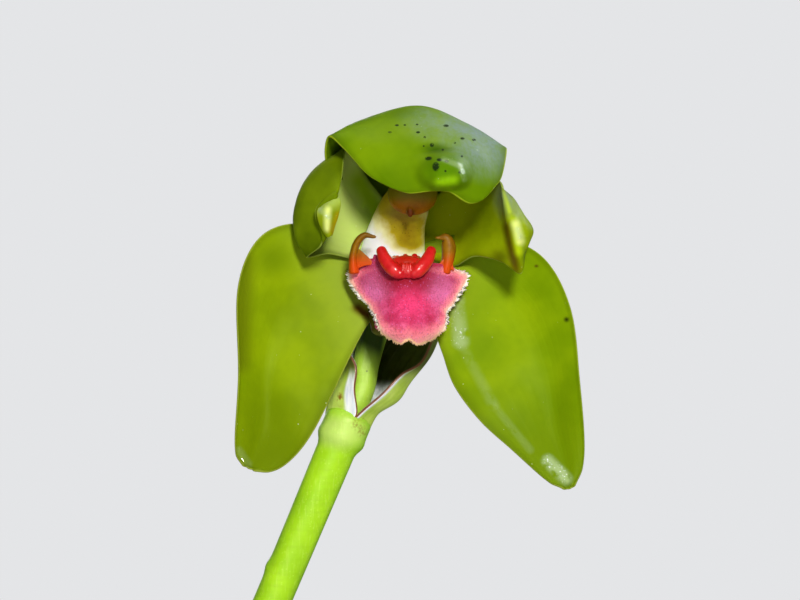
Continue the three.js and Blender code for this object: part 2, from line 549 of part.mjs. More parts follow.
function flower() {
  const group = new THREE.Group();
  group.position.copy(FLOWER);
  const columnBody = cutBy(column(), antherCap(CLEAR));
  const lipBody = cutBy(lip(), column(CLEAR));
  const callusBody = cutBy(callus(), lip(CLEAR), column(CLEAR));
  const lobes = [LOBE_LEFT, LOBE_RIGHT].map((path) => cutBy(sideLobe(path), lip(CLEAR), column(CLEAR), callus(CLEAR)));
  const lobeRoom = [sideLobe(LOBE_LEFT, CLEAR), sideLobe(LOBE_RIGHT, CLEAR)];
  const crown = cutBy(tepals(), column(CLEAR), antherCap(CLEAR), lip(CLEAR), ...lobeRoom, ovary(CLEAR));
  group.add(
    meshOf("flower_tepals", crown, TEPAL_GREEN),
    meshOf("ovary", cutBy(ovary(), column(CLEAR), scape(CLEAR, FLOWER.toArray())), SCAPE_GREEN),
    meshOf("floral_bract", cutBy(floralBract(), ovary(CLEAR), scape(CLEAR, FLOWER.toArray())), BRACT_GREEN),
    meshOf("column", columnBody, COLUMN_CREAM),
    meshOf("anther_cap", antherCap(), CAP_ORANGE),
    meshOf("lip", lipBody, LIP_PINK),
    meshOf("lip_callus", callusBody, CALLUS_RED),
    meshOf("lip_side_lobe_left", lobes[0], LOBE_ORANGE),
    meshOf("lip_side_lobe_right", lobes[1], LOBE_ORANGE),
  );
  return group;
}

function plant() {
  const group = new THREE.Group();
  const bulbRoom = BULBS.map((one) => bulb(one, CLEAR));
  BULBS.forEach((one, k) => {
    group.add(meshOf(`pseudobulb_${k + 1}`, bulb(one), BULB_GREEN));
    group.add(meshOf(`bulb_sheath_${k + 1}`, bulbSheath(one, 11 + k), SHEATH_BROWN));
  });
  LEAVES.forEach((one, k) => group.add(meshOf(`leaf_${k + 1}`, cutBy(leaf(one), ...bulbRoom), LEAF_GREEN)));
  SHEATH_STRETCHES.forEach((one, k) => group.add(meshOf(`scape_sheath_${k + 1}`, scapeSheath(one), BRACT_GREEN)));
  const wrapped = BULBS.map((one) => bulb(one, SHEATH_OUT + SHEATH_THICK / 2 + 2 * CLEAR));
  group.add(
    meshOf("scape", scape(), SCAPE_GREEN),
    meshOf("bark", cutBy(bark(), scape(CLEAR), ...wrapped), BARK),
    meshOf("pot", pot(), CLAY),
  );
  return group;
}

const root = new THREE.Group();
root.add(flower(), plant());

export default root;
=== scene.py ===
# A potted orchid in flower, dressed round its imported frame: a hooded green bloom with a fringed pink lip
# on a leaning scape, over ribbed pseudobulbs and pleated leaves in a clay pot of bark. Helpers take
# millimetres.
import math
import random

import bmesh
import bpy
import numpy as np
from mathutils import Matrix, Vector, noise


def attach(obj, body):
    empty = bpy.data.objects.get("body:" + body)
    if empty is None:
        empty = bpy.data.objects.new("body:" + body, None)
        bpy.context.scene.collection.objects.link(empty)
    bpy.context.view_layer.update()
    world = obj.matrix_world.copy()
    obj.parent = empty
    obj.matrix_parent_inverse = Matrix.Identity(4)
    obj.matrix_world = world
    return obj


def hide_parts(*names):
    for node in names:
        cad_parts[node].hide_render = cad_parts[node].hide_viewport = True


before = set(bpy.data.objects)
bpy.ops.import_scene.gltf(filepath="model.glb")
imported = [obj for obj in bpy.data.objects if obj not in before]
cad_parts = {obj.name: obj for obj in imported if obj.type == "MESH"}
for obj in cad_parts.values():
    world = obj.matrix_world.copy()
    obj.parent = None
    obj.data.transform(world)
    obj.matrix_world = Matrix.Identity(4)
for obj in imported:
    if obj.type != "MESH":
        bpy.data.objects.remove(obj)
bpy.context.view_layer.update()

MM = 0.001
CLEAR = 0.35
FLOWER = np.array([52.0, -30.0, 376.0])  # middle of the callus, the origin of the flower's own frame

# Curves and surfaces


def smooth(value, low, high):
    share = np.clip((np.asarray(value, float) - low) / (high - low), 0, 1)
    return share * share * (3 - 2 * share)


def unit(vectors):
    return vectors / np.maximum(np.linalg.norm(vectors, axis=-1, keepdims=True), 1e-9)


def spline(points, share, clamped=False):
    """A smooth curve through points, or through rows of points, at shares from 0 to 1."""
    points = np.asarray(points, float)
    last = len(points) - 1
    before, after = 2 * points[0] - points[1], 2 * points[last] - points[last - 1]
    if clamped:
        before, after = points[0], points[last]
    padded = np.concatenate([before[None], points, after[None]])
    place = np.clip(np.asarray(share, float), 0, 1) * last
    k = np.minimum(place.astype(int), last - 1)
    w = (place - k).reshape(place.shape + (1,) * (points.ndim - 1))
    p0, p1, p2, p3 = (padded[k + i] for i in range(4))
    t0, t1 = (p2 - p0) / 2, (p3 - p1) / 2
    return p1 + t0 * w + (3 * (p2 - p1) - 2 * t0 - t1) * w**2 + (2 * (p1 - p2) + t0 + t1) * w**3


def heading(points, share):
    """The direction of the curve there."""
    share = np.clip(share, 1e-4, 1 - 1e-4)
    return unit(spline(points, share + 1e-4) - spline(points, share - 1e-4))


def even(points, share):
    """The share that lies so far along the curve by its length."""
    fine = np.linspace(0, 1, 401)
    steps = np.linalg.norm(np.diff(spline(points, fine), axis=0), axis=1)
    length = np.concatenate([[0], np.cumsum(steps)])
    return np.interp(np.asarray(share, float) * length[-1], length, fine)


def flowing(*values):
    return lambda share: spline(np.array(values, float), share, clamped=True)


def rough(points, size, shift=0.0):
    """Smooth noise from -1 to 1 at points, with features about that size."""
    offset = Vector((shift, 3.7 * shift, -2.1 * shift))
    return np.array([noise.noise(Vector(p) / size + offset) for p in points])


def seeded(seed):
    """The repeatable stream of numbers from 0 to 1 that the part's source draws from."""
    state = seed
    while True:
        state = (state * 16807) % 2147483647
        yield state / 2147483647


def skin(ribs):
    """The surface over ribs: along runs from rib to rib, across from one margin to the other."""

    def surface(along, across):
        ways, at = np.unique(np.round(across, 6), return_inverse=True)
        steps, on = np.unique(np.round(along, 6), return_inverse=True)
        rows = np.array([spline(rib, ways) for rib in ribs])
        return spline(rows, steps)[on, at]

    return surface


def raised(surface, relief, step=0.004):
    """The same surface moved along its normal by relief(along, across, points)."""

    def moved(along, across):
        points = surface(along, across)
        down = surface(np.minimum(along + step, 1), across) - surface(np.maximum(along - step, 0), across)
        over = surface(along, np.minimum(across + step, 1)) - surface(along, np.maximum(across - step, 0))
        return points + unit(np.cross(down, over)) * relief(along, across, points)[:, None]

    return moved


def limb(path, wide, deep=None, aim=(0, 1, 0), ridge=None, caps=(1.0, 1.0), cap_share=0.08):
    """A closed limb along a path, rounded over at both ends. across runs once round it."""
    path = np.array(path, float)
    deep = deep or wide

    def surface(along, across):
        t = np.clip((along - cap_share) / (1 - 2 * cap_share), 0, 1)
        first = np.clip(along / cap_share, 0, 1) * math.pi / 2
        last = np.clip((1 - along) / cap_share, 0, 1) * math.pi / 2
        shrink = np.sin(first) * np.sin(last)
        push = caps[1] * np.cos(last) - caps[0] * np.cos(first)
        ahead = heading(path, t)
        side = unit(np.cross(np.array(aim, float), ahead))
        front = np.cross(ahead, side)
        angle = across * 2 * math.pi
        factor = shrink * (ridge(t, angle) if ridge else 1)
        centre = spline(path, t) + ahead * push[:, None]
        across_x, across_y = np.cos(angle) * wide(t) * factor, np.sin(angle) * deep(t) * factor
        return centre + side * across_x[:, None] + front * across_y[:, None]

    return surface


def lump(centre, half, turn=(0, 0, 0), ripple=0.0):
    """A smooth round lump with three half sizes, turned by Euler angles."""
    spin = np.array((Matrix.Rotation(turn[2], 3, "Z") @ Matrix.Rotation(turn[1], 3, "Y")
                     @ Matrix.Rotation(turn[0], 3, "X")))

    def surface(along, across):
        lift, angle = (along - 0.5) * math.pi, across * 2 * math.pi
        ball = np.stack([np.cos(lift) * np.cos(angle), np.cos(lift) * np.sin(angle), np.sin(lift)], 1)
        ball[np.abs(lift) > 1.5707, :2] = 0
        if ripple:
            ball = ball * (1 + ripple * rough(ball * 2.2, 1.0, centre[0]))[:, None]
        return (ball * np.array(half)) @ spin.T + np.array(centre)

    return surface


# Pieces


def add_patch(bm, rows, columns, surface, origin=(0, 0, 0), closed=False, weight=None):
    """Adds a grid of points on surface. weight(along, across) is each one's share of the thickness."""
    bm.loops.layers.uv.verify()
    layer = bm.verts.layers.deform.verify() if weight else None
    made = bmesh.ops.create_grid(bm, x_segments=columns, y_segments=rows, size=0.5, calc_uvs=True)["verts"]
    shares = np.array([v.co[:2] for v in made]) + 0.5
    across, along = np.clip(shares.T, 0, 1)
    points = (surface(along, across) + np.array(origin)) * MM
    if weight:
        for vert, share in zip(made, weight(along, across)):
            vert[layer][0] = float(share)
    for vert, point in zip(made, points):
        vert.co = point
    if closed:
        bmesh.ops.remove_doubles(bm, verts=made, dist=1e-6)
        faces = dict.fromkeys(face for vert in made if vert.is_valid for face in vert.link_faces)
        bmesh.ops.recalc_face_normals(bm, faces=list(faces))


def piece(bm, name, nodes, finishes):
    """The bmesh as a piece of the object, riding on its one body and standing for those nodes."""
    mesh = bpy.data.meshes.new(name)
    bm.to_mesh(mesh)
    bm.free()
    mesh.shade_smooth()
    for finish in finishes:
        mesh.materials.append(finish)
    made = bpy.data.objects.new(name, mesh)
    bpy.context.scene.collection.objects.link(made)
    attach(made, "root")
    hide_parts(*nodes)
    return made


def subdivided(made, levels=1):
    modifier = made.modifiers.new("Subdivision", "SUBSURF")
    modifier.levels = modifier.render_levels = levels
    return made


def thickened(made, thick, other_side=0):
    """Gives a sheet its thickness on both sides of its middle, by the share in its vertex group."""
    modifier = made.modifiers.new("Thickness", "SOLIDIFY")
    modifier.thickness = thick * MM
    modifier.offset = 0
    modifier.material_offset = other_side
    if made.vertex_groups:
        modifier.vertex_group = made.vertex_groups[0].name
    return made


def bake(made):
    """Makes the modifiers' result the piece's own mesh."""
    shape = made.evaluated_get(bpy.context.evaluated_depsgraph_get())
    mesh = bpy.data.meshes.new_from_object(shape)
    made.modifiers.clear()
    made.data = mesh
    mesh.shade_smooth()
    return made


def sheet_piece(name, nodes, finishes, rows, columns, surface, thick, origin=FLOWER, weight=None,
                other_side=0, levels=1):
    """A thin blade of tissue with a thickness that may thin towards its margins."""
    bm = bmesh.new()
    add_patch(bm, rows, columns, surface, origin, weight=weight)
    made = piece(bm, name, nodes, finishes)
    if weight is not None:
        made.vertex_groups.new(name="thickness")
    thickened(made, thick, other_side)
    return subdivided(made, levels) if levels else made


def limb_piece(name, nodes, finishes, rows, columns, surface, origin=FLOWER):
    bm = bmesh.new()
    add_patch(bm, rows, columns, surface, origin, closed=True)
    return piece(bm, name, nodes, finishes)


def fused_piece(name, nodes, finishes, surfaces, voxel, rounds, rows=40, columns=32, origin=FLOWER):
    """Limbs and lumps that grow into each other, melted into one skin."""
    bm = bmesh.new()
    for surface in surfaces:
        add_patch(bm, rows, columns, surface, origin, closed=True)
    made = piece(bm, name, nodes, finishes)
    melt = made.modifiers.new("Melt", "REMESH")
    melt.mode, melt.voxel_size = "VOXEL", voxel * MM
    relax = made.modifiers.new("Relax", "SMOOTH")
    relax.factor, relax.iterations = 0.5, rounds
    return bake(made)


def mark(made, name, values):
    """Keeps a number for each point of a piece, for its finish to read."""
    attribute = made.data.attributes.new(name, "FLOAT", "POINT")
    attribute.data.foreach_set("value", np.asarray(values, np.float32))


def points_of(made):
    """The piece's points in the flower's own frame, in millimetres."""
    points = np.zeros(len(made.data.vertices) * 3)
    made.data.vertices.foreach_get("co", points)
    return points.reshape(-1, 3) / MM - FLOWER


# Finishes


def srgb(red, green, blue):
    """A colour in levels from 0 to 255, as linear light."""
    levels = (red, green, blue)
    return tuple(v / 3294.6 if v <= 10 else ((v / 255 + 0.055) / 1.055) ** 2.4 for v in levels) + (1,)


class Finish:
    """A procedural finish. Patterns read millimetres from the flower's middle, or shares of the UV map."""

    def __init__(self, name, **shader):
        self.made = bpy.data.materials.new(name)
        self.made.use_nodes = True
        self.tree = self.made.node_tree
        self.shader = self.tree.nodes["Principled BSDF"]
        for socket, value in shader.items():
            self.shader.inputs[socket.replace("_", " ").title().replace("Ior", "IOR")].default_value = value
        source = self.add("ShaderNodeTexCoord")
        self.place = self.add(
            "ShaderNodeMapping",
            {"Vector": source.outputs["Object"], "Location": tuple(-FLOWER), "Scale": (1 / MM,) * 3},
        ).outputs[0]
        self.x, self.y, self.z = self.add("ShaderNodeSeparateXYZ", {0: self.place}).outputs
        self.uv = source.outputs["UV"]
        self.across, self.along, _ = self.add("ShaderNodeSeparateXYZ", {0: self.uv}).outputs
        self.tone = self.normal = None

    def add(self, kind, inputs=None, **settings):
        node = self.tree.nodes.new(kind)
        for name, value in settings.items():
            setattr(node, name, value)
        for key, value in (inputs or {}).items():
            if isinstance(value, bpy.types.NodeSocket):
                self.tree.links.new(value, node.inputs[key])
            else:
                node.inputs[key].default_value = value
        return node

    def times(self, first, second):
        return self.math("MULTIPLY", first, second)

    def over(self, mask, colour, share=1.0):
        """Lays a colour over the finish's tone where mask is 1, at most by that share."""
        if share != 1:
            mask = self.times(mask, share)
        self.tone = self.mix(mask, self.tone, srgb(*colour) if isinstance(colour, tuple) else colour)

    def math(self, operation, *values, clamp=False):
        return self.add("ShaderNodeMath", dict(enumerate(values)), operation=operation,
                        use_clamp=clamp).outputs[0]

    def vector(self, operation, *values):
        return self.add("ShaderNodeVectorMath", dict(enumerate(values)), operation=operation).outputs

    def band(self, value, low, high):
        """From 0 at low to 1 at high, smoothly."""
        inputs = {"Value": value, "From Min": low, "From Max": high}
        return self.add("ShaderNodeMapRange", inputs, interpolation_type="SMOOTHSTEP").outputs[0]

    def grain(self, size, detail=3.0, stretch=(1, 1, 1), vector=None, roughness=0.5):
        """Cloudy noise with features about that many millimetres across, stretched by shares."""
        vector = self.vector("MULTIPLY", vector or self.place, tuple(1 / s for s in stretch))[0]
        inputs = {"Vector": vector, "Scale": 1 / size, "Detail": detail, "Roughness": roughness}
        return self.add("ShaderNodeTexNoise", inputs).outputs[0]

    def cells(self, size, feature="F1", vector=None):
        """A Voronoi pattern: the distance and a random number for each cell."""
        inputs = {"Vector": vector or self.place, "Scale": 1 / size}
        node = self.add("ShaderNodeTexVoronoi", inputs, feature=feature)
        chance = self.add("ShaderNodeSeparateXYZ", {0: node.outputs["Color"]}).outputs[0]
        return node.outputs["Distance"], chance

    def near(self, point, radius, soft=0.5, flat=(1, 1, 1), end=None):
        """1 within a part of radius of a point, or of the way to a second one, falling to 0 at radius."""
        off = self.vector("SUBTRACT", self.place, tuple(point))[0]
        if end is not None:
            reach = np.subtract(end, point)
            share = self.vector("DOT_PRODUCT", off, tuple(reach / (reach @ reach)))["Value"]
            share = self.math("ADD", share, 0.0, clamp=True)
            back = self.add("ShaderNodeVectorMath", {0: tuple(reach), "Scale": share},
                            operation="SCALE").outputs[0]
            off = self.vector("SUBTRACT", off, back)[0]
        length = self.vector("LENGTH", self.vector("MULTIPLY", off, flat)[0])["Value"]
        return self.band(length, radius, radius * soft)

    def mix(self, factor, first, second, blend="MIX"):
        node = self.add("ShaderNodeMix", {0: factor, 6: first, 7: second}, data_type="RGBA",
                        blend_type=blend)
        return node.outputs[2]

    def blend(self, value, *stops):
        """A colour that runs through stops of (place, levels), or of (place, linear light with alpha)."""
        node = self.add("ShaderNodeValToRGB", {0: value})
        while len(node.color_ramp.elements) < len(stops):
            node.color_ramp.elements.new(0.5)
        for element, (place, colour) in zip(node.color_ramp.elements, stops):
            element.position, element.color = place, colour if len(colour) == 4 else srgb(*colour)
        return node.outputs[0]

    def specks(self, size, share, chance):
        """Sparse dots: cells of that size, each dot that share of its cell, in that part of the cells."""
        distance, lot = self.cells(size)
        dot = self.band(distance, share, share * 0.5)
        return self.math("MULTIPLY", dot, self.math("LESS_THAN", lot, chance))

    def colour(self, value=None):
        self.tree.links.new(value or self.tone, self.shader.inputs["Base Color"])

    def gloss(self, value, low, high):
        """Roughness from low to high as value goes from 0 to 1."""
        inputs = {"Value": value, "To Min": low, "To Max": high}
        self.tree.links.new(self.add("ShaderNodeMapRange", inputs).outputs[0],
                            self.shader.inputs["Roughness"])

    def bump(self, height, depth, strength=1.0):
        """Relief of that depth in millimetres where height goes from 0 to 1."""
        inputs = {"Height": height, "Distance": depth * MM, "Strength": strength}
        if self.normal:
            inputs["Normal"] = self.normal
        self.normal = self.add("ShaderNodeBump", inputs).outputs[0]
        self.tree.links.new(self.normal, self.shader.inputs["Normal"])

    def inset(self, tip=1.2, foot=False):
        """How far a point lies in from the margins of a blade, in shares."""
        edge = self.math("MINIMUM", self.across, self.math("SUBTRACT", 1.0, self.across))
        edge = self.math("MINIMUM", edge, self.math("MULTIPLY", self.math("SUBTRACT", 1.0, self.along), tip))
        return self.math("MINIMUM", edge, self.along) if foot else edge

    def lines(self, count, waver=0.35, width=0.5):
        """Fine lines that run along a blade, narrower than the gaps between them."""
        drift = self.grain(9, 2.0)
        phase = self.math("MULTIPLY_ADD", self.across, float(count), self.math("MULTIPLY", drift, waver))
        wave = self.math("PINGPONG", phase, 0.5)
        return self.band(wave, 0.5 * width, 0.0)


def tepal_finish(name, deep, middle, bright, foot, veins=14, dark_tip=(0, 0), bloom_and_sheen=(), wet_and_sheen=(), spots=(),
                 stains_and_painted_light=(), line=(170, 178, 70), foot_reach=0.42):
    """Waxy green tissue with faint veins, cloudy tone, a paler foot, a fine pale margin and specks of dust.

    Each row of powder, wetness, spots and staining is a point, a radius and a flattening. Powder and wetness
    rows add a strength and staining rows a colour; wetness and staining rows may add a second point, which
    makes a stripe.
    The bluish powder tone is partly painted sheen. Wetness adds gloss, coat and relief, with a pale painted
    sheen and painted white sparkles where strong. Staining holds painted shade and painted highlights as well
    as real marks."""
    f = Finish(name, roughness=0.46, specular_ior_level=0.08, specular_tint=(0.8, 1.0, 0.25, 1),
               subsurface_weight=0.1, subsurface_scale=0.0015, subsurface_radius=(0.6, 1.0, 0.1))
    cloud = f.grain(15, 3.0)
    f.tone = f.blend(f.band(cloud, 0.3, 0.7), (0.0, deep), (0.5, middle), (1.0, bright))
    fine = f.grain(1.6, 4.0)
    f.over(f.band(fine, 0.45, 0.75), deep, 0.16)
    vein = f.times(f.lines(veins), f.band(f.along, 0.85, 0.45))
    f.over(vein, bright, 0.05)
    cross = f.lines(veins * 0.5, waver=1.4, width=0.3)
    f.over(cross, deep, 0.06)
    f.over(f.band(f.along, foot_reach, 0.08), foot, 0.75)
    if dark_tip[1]:
        low = f.band(f.z, dark_tip[0], dark_tip[1])
        f.over(low, tuple(0.88 * v for v in deep), 0.8)
    gloss = f.grain(7, 2.0)
    # A bluish-grey powder tone over the wax, partly painted sheen of light glancing off it.
    if bloom_and_sheen:
        powder_and_sheen = f.math("MULTIPLY_ADD", f.band(f.grain(0.8, 4.0, (1, 1, 2)), 0.35, 0.65), 0.4, 0.7)
        powder_and_sheen = f.times(powder_and_sheen, f.band(f.grain(5, 4.0, (1, 1, 2.5)), 0.1, 0.75))
    for point, radius, flat, strength in bloom_and_sheen:
        mask = f.times(f.near(point, radius, 0.2, flat), strength)
        f.over(f.times(mask, powder_and_sheen), (124, 142, 142))
    # Coloured marks: real stains, and also painted shade and painted highlights.
    for point, radius, flat, colour, *end in stains_and_painted_light:
        f.over(f.near(point, radius, 0.0, flat, *end), colour)
    for point, radius, flat in spots:
        ragged = f.times(f.near(point, radius, 0.6, flat), f.band(f.grain(0.5, 2.0), 0.28, 0.42))
        f.over(ragged, (18, 32, 14), 0.94)
    wetness = glints = None
    # Wet patches: real gloss, coat and relief, plus a pale painted sheen, and painted white glints where the
    # strength is over 0.45.
    for point, radius, flat, tint, *end in wet_and_sheen:
        mask = f.near(point, radius, 0.2, flat, *end)
        mask = f.times(mask, f.band(f.grain(3, 4.0), 0.25, 0.5))
        f.over(f.times(mask, tint), (172, 194, 138))
        wetness = mask if wetness is None else f.math("MAXIMUM", wetness, mask)
        glint = f.times(mask, float(tint > 0.45))
        glints = glint if glints is None else f.math("MAXIMUM", glints, glint)
    if wetness:
        film = f.times(wetness, f.band(f.grain(2.6, 3.0), 0.35, 0.5))
        f.gloss(f.math("SUBTRACT", f.band(gloss, 0.2, 0.8), f.times(film, 1.8)), 0.4, 0.54)
        f.bump(f.times(film, f.grain(1.4, 1.0)), 0.1)
        f.tree.links.new(f.times(film, 0.7), f.shader.inputs["Coat Weight"])
        sparks = f.band(f.grain(0.6, 2.0), 0.6, 0.68)
        f.over(f.times(f.times(glints, sparks), film), (240, 248, 244))
    else:
        f.gloss(f.band(gloss, 0.2, 0.8), 0.4, 0.56)
    f.over(f.band(f.inset(), 0.07, 0.0), tuple(0.72 * v for v in deep), 0.5)
    margin = f.band(f.inset(), 0.01, 0.003)
    f.over(margin, line, 0.45)
    dust = f.math("MAXIMUM", f.specks(3.4, 0.05, 0.5), f.specks(1.9, 0.05, 0.22))
    f.over(dust, (216, 224, 176), 0.7)
    f.colour()
    f.bump(vein, 0.012)
    f.bump(f.grain(0.35, 3.0), 0.012)
    f.bump(cloud, 0.2)
    return f.made


# Flower: ribs across each blade from its foot to its tip, and paths along each limb

DORSAL_RIBS = [
    [(-6, 19, 8.5), (-4, 22, 7.5), (0, 23.5, 7), (4, 22, 7.5), (6, 19, 8.5)],
    [(-12.5, 17.6, 19.5), (-8, 23, 23), (1, 26, 25), (11, 23, 22), (17, 14, 18)],
    [(-19.5, 6, 25.5), (-12.5, 14, 34), (1.5, 18, 37.8), (15, 14, 33), (23, 6, 25)],
    [(-19.3, -1, 32.6), (-10.5, 5, 37), (3, 8, 40.6), (15.3, 5, 36.2), (25.4, -1, 29.6)],
    [(-15, -4, 29.2), (-6.3, -5, 30.8), (5.5, -3, 34), (16.5, -6, 29.5), (24, -5, 22.5)],
    [(-9.2, -7, 22.8), (-2.5, -9, 22.8), (8, -10, 26.5), (17, -9, 22.6), (21.4, -7.5, 18.8)],
    [(-2.4, -10, 18.2), (2.2, -11.5, 18.1), (9.6, -13, 18.6), (14.8, -11.3, 15.9), (19.2, -8.8, 14.8)],
]
SEPAL_LEFT_RIBS = [
    [(-2, 19, 6), (-5, 19.5, -1), (-2, 17, -8)],
    [(-14, 17, 6), (-12.5, 14, -3), (-8.6, 9, -13.2)],
    [(-26, 9, 11.4), (-21.5, 9, -4), (-13.3, 3.5, -21.5)],
    [(-36.5, 4, 8), (-29.5, 5, -11), (-18.2, 0, -31.8)],
    [(-41.8, 0, -4.5), (-34, 2, -23), (-22.5, -3, -40.3)],
    [(-41.3, -4, -27), (-35, -1, -37.5), (-26.5, -5, -46)],
    [(-42, -7, -42), (-37.5, -5.5, -46.5), (-31, -6.5, -49.7)],
    [(-41.5, -8, -48.2), (-38.5, -8, -49.6), (-35.6, -8, -50.8)],
]
SEPAL_RIGHT_RIBS = [
    [(2, 19, 6), (5, 19.5, -1), (1, 17, -9)],
    [(14, 15, 9), (12.5, 13.5, -3), (6.5, 9, -14.6)],
    [(26, 10, 7.6), (21.5, 10, -5), (9.2, 5, -21)],
    [(35.5, 5, 2.2), (29.5, 6, -13), (12.2, 1, -29.5)],
    [(41.5, 1, -10), (34.5, 2, -25), (18.5, -3, -38)],
    [(43.4, -3, -27), (37, -1, -38), (26.5, -5, -45.3)],
    [(44.4, -6, -44), (39.5, -5.5, -48.5), (33, -7, -51)],
    [(43.2, -8, -53), (40.5, -8.5, -54.6), (37.6, -8.5, -54.4)],
]
PETAL_LEFT_RIBS = [
    [(-2, 18, 14), (-3.5, 19, 11.5), (-4.5, 19.5, 9), (-4.5, 19, 6.5), (-4, 18, 4)],
    [(-10, 15, 24), (-13, 16, 18), (-14.5, 16, 12.5), (-14, 15.5, 7), (-12, 14, 2.5)],
    [(-12.8, 8.4, 31), (-20.5, 9.5, 24.5), (-23, 9.5, 17), (-22.5, 9, 9.5), (-19, 8, 3.6)],
    [(-14.9, 2.6, 29.3), (-23.8, 3.4, 22.2), (-27.2, 3, 14.5), (-27, 2.4, 8), (-24.4, 1.5, 2.6)],
    [(-16, -3, 21), (-17.2, -5, 17.4), (-17.8, -6, 13.2), (-18.8, -6, 9.4), (-21, -4.5, 5.4)],
    [(-18.2, -5, 18.4), (-20.4, -5.6, 16.8), (-22.2, -6, 14.4), (-22, -6, 11.6), (-20.6, -6, 9.2)],
]
PETAL_RIGHT_RIBS = [
    [(2, 18, 14), (4.5, 19.5, 9), (4, 18, 4)],
    [(11, 15, 21), (13.5, 15.5, 10.5), (12, 14, 0.5)],
    [(18, 8, 24), (19.8, 8, 12), (17.5, 6, 3)],
    [(23, 0, 22), (24.6, -1, 11.5), (24, -2, 1.4)],
    [(24.4, -3, 19.6), (26, -6, 9.5), (28.6, -6, -1.6)],
    [(27, -2, 17.4), (29.4, -5, 9), (29.6, -5, 3.2)],
    [(29.4, 0, 13.4), (31.8, -2, 9.6), (31, -3, 6.6)],
]
BRACT_RIBS = [

    [(-14.8, 12, -40.2), (-20.2, 17.4, -38.9), (-15, 22.8, -40.6), (-9.6, 17.4, -41.6), (-14.6, 11.9, -40.3)],
    [(-12.2, 12.6, -37.2), (-20, 17, -36.2), (-14, 23.6, -38.2), (-7, 18.4, -37.2), (-11.8, 12.7, -37.2)],
    [(-12.8, 13, -31), (-19.1, 18, -33), (-11.8, 26, -33), (-1.9, 19.4, -34), (-5.6, 13, -31.6)],
    [(-12.5, 13.6, -25), (-16, 20, -26.4), (-8.4, 28.4, -25), (1, 21.6, -29), (-0.6, 14.4, -27)],
    [(-15, 17.6, -18), (-13.6, 24, -18.4), (-3.4, 29.6, -17.4), (6, 25, -21.8), (4.6, 17.4, -23.4)],
    [(0.5, 28, -12), (3, 30, -11.4), (7, 30.4, -11.2), (10, 28, -13), (8.8, 24.8, -14)],
    [(10, 28.5, -8.6), (10.6, 29, -8.4), (11.2, 29, -8.2), (11.8, 28.4, -8.6), (11.6, 27.8, -8.8)],
]
OVARY_PATH = [
    (-13.9, 17.4, -38.1), (-12.4, 18, -34.5), (-10.8, 19, -30), (-9.9, 20.4, -24), (-7.5, 22, -15),
    (-3.6, 22.4, -6.5), (-1.4, 21, 0),
]
COLUMN_PATH = [(-3.4, 14, 1.6), (-2.6, 12.4, 7), (-1.4, 9.6, 12), (0.4, 6.8, 16.5), (2, 6, 20.5)]
FOOT_PATH = [(-1.5, 13, 4), (-3, 12, -4), (-4.6, 9.6, -11), (-5, 7.4, -16)]
CLAW_PATH = [(-4.6, 4.6, -15.4), (-4, 4.2, -11.5), (-2.4, 3.6, -6.5), (-0.4, 2.6, -2.5), (0.6, 0.6, 0.2)]
HORN_LEFT = [(-5.9, -1.5, 4.3), (-5.1, -2.9, 2.3), (-3.8, -4, 0.5), (-2.4, -4.6, -0.8), (-1.1, -4.9, -1.6)]
HORN_RIGHT = [(6.5, -1.5, 4.3), (5.7, -2.9, 2.3), (4.4, -4, 0.5), (3.1, -4.6, -0.8), (1.9, -4.9, -1.6)]
SADDLE_RIDGES = [-2, -0.6, 0.9, 2.4]
LOBE_LEFT = [(-12.8, 3.2, -1), (-13, 3.2, 3), (-12, 2.8, 6.4), (-10.2, 2.2, 8.2), (-8, 1.8, 7.9)]
LOBE_RIGHT = [(10.2, 3.2, -1), (10.8, 3.2, 2.4), (11, 2.8, 5.4), (10.2, 2.2, 7.5), (8.4, 1.8, 7.6)]
LIP_MARGIN = [
    (-15.2, -0.8), (-14.6, -3.6), (-13.4, -5.8), (-11.8, -7.8), (-10, -9.2), (-9, -11), (-8.1, -13),
    (-7, -15.4), (-5, -17.4), (-1.4, -19.3), (0.8, -18.5), (3.2, -19.5), (6.8, -18.2), (10.4, -15.4),
    (11.3, -13.4), (11, -11.6), (12.4, -9.8), (14.4, -7), (15.9, -4.8), (16.5, -1.2), (13, 0), (9.4, 0.9),
    (6.4, 1.4), (0, 2), (-5.6, 2.6), (-9.4, 2.2), (-12.6, 0.9),
]
LIP_HEART = np.array([0.6, -6.5])
LIP_THICK = 1.8
FRINGE_DEPTH = 2.2
FRINGE_TEETH = 116
SCAPE_PATH = [
    (-24, -33, 96), (-24, -33, 122), (-23, -31, 150), (-15.5, -26, 200), (0, -20, 250), (18.9, -15.5, 293),
    (37.4, -12.6, 337),
]
SCAPE_RADII = (5.6, 5.5, 5.2, 4.9, 4.7, 4.5, 4.6, 4.8, 5.1)

# Tepals

TEPAL_THICK = 1.2


def rounded(surface, start=0.93, keep=0.45):
    """Draws the last corners of a blade in, so that its tip ends round."""

    def tipped(along, across):
        pull = 1 - (1 - keep) * smooth(along, start, 1) ** 2
        return surface(along, 0.5 + (across - 0.5) * pull)

    return tipped


def soft_corners(surface, start, side):
    """Draws the two last corners of a blade into arcs."""

    def bent(along, across):
        far = 2 * across - 1
        down = np.maximum((along - start) / (1 - start), 0)
        out = np.sign(far) * np.maximum((np.abs(far) - side) / (1 - side), 0)
        along = along - (1 - start) * down * (1 - np.sqrt(1 - 0.46 * out**2))
        far = far - (1 - side) * out * (1 - np.sqrt(1 - 0.46 * down**2))
        return surface(along, (far + 1) / 2)

    return bent


def tepal_share(along, across):
    """Full thickness inside, thinning to a fine margin."""
    inset = np.minimum(np.minimum(across, 1 - across), 1.2 * (1 - along))
    return 0.5 + 0.5 * smooth(inset, 0, 0.18)


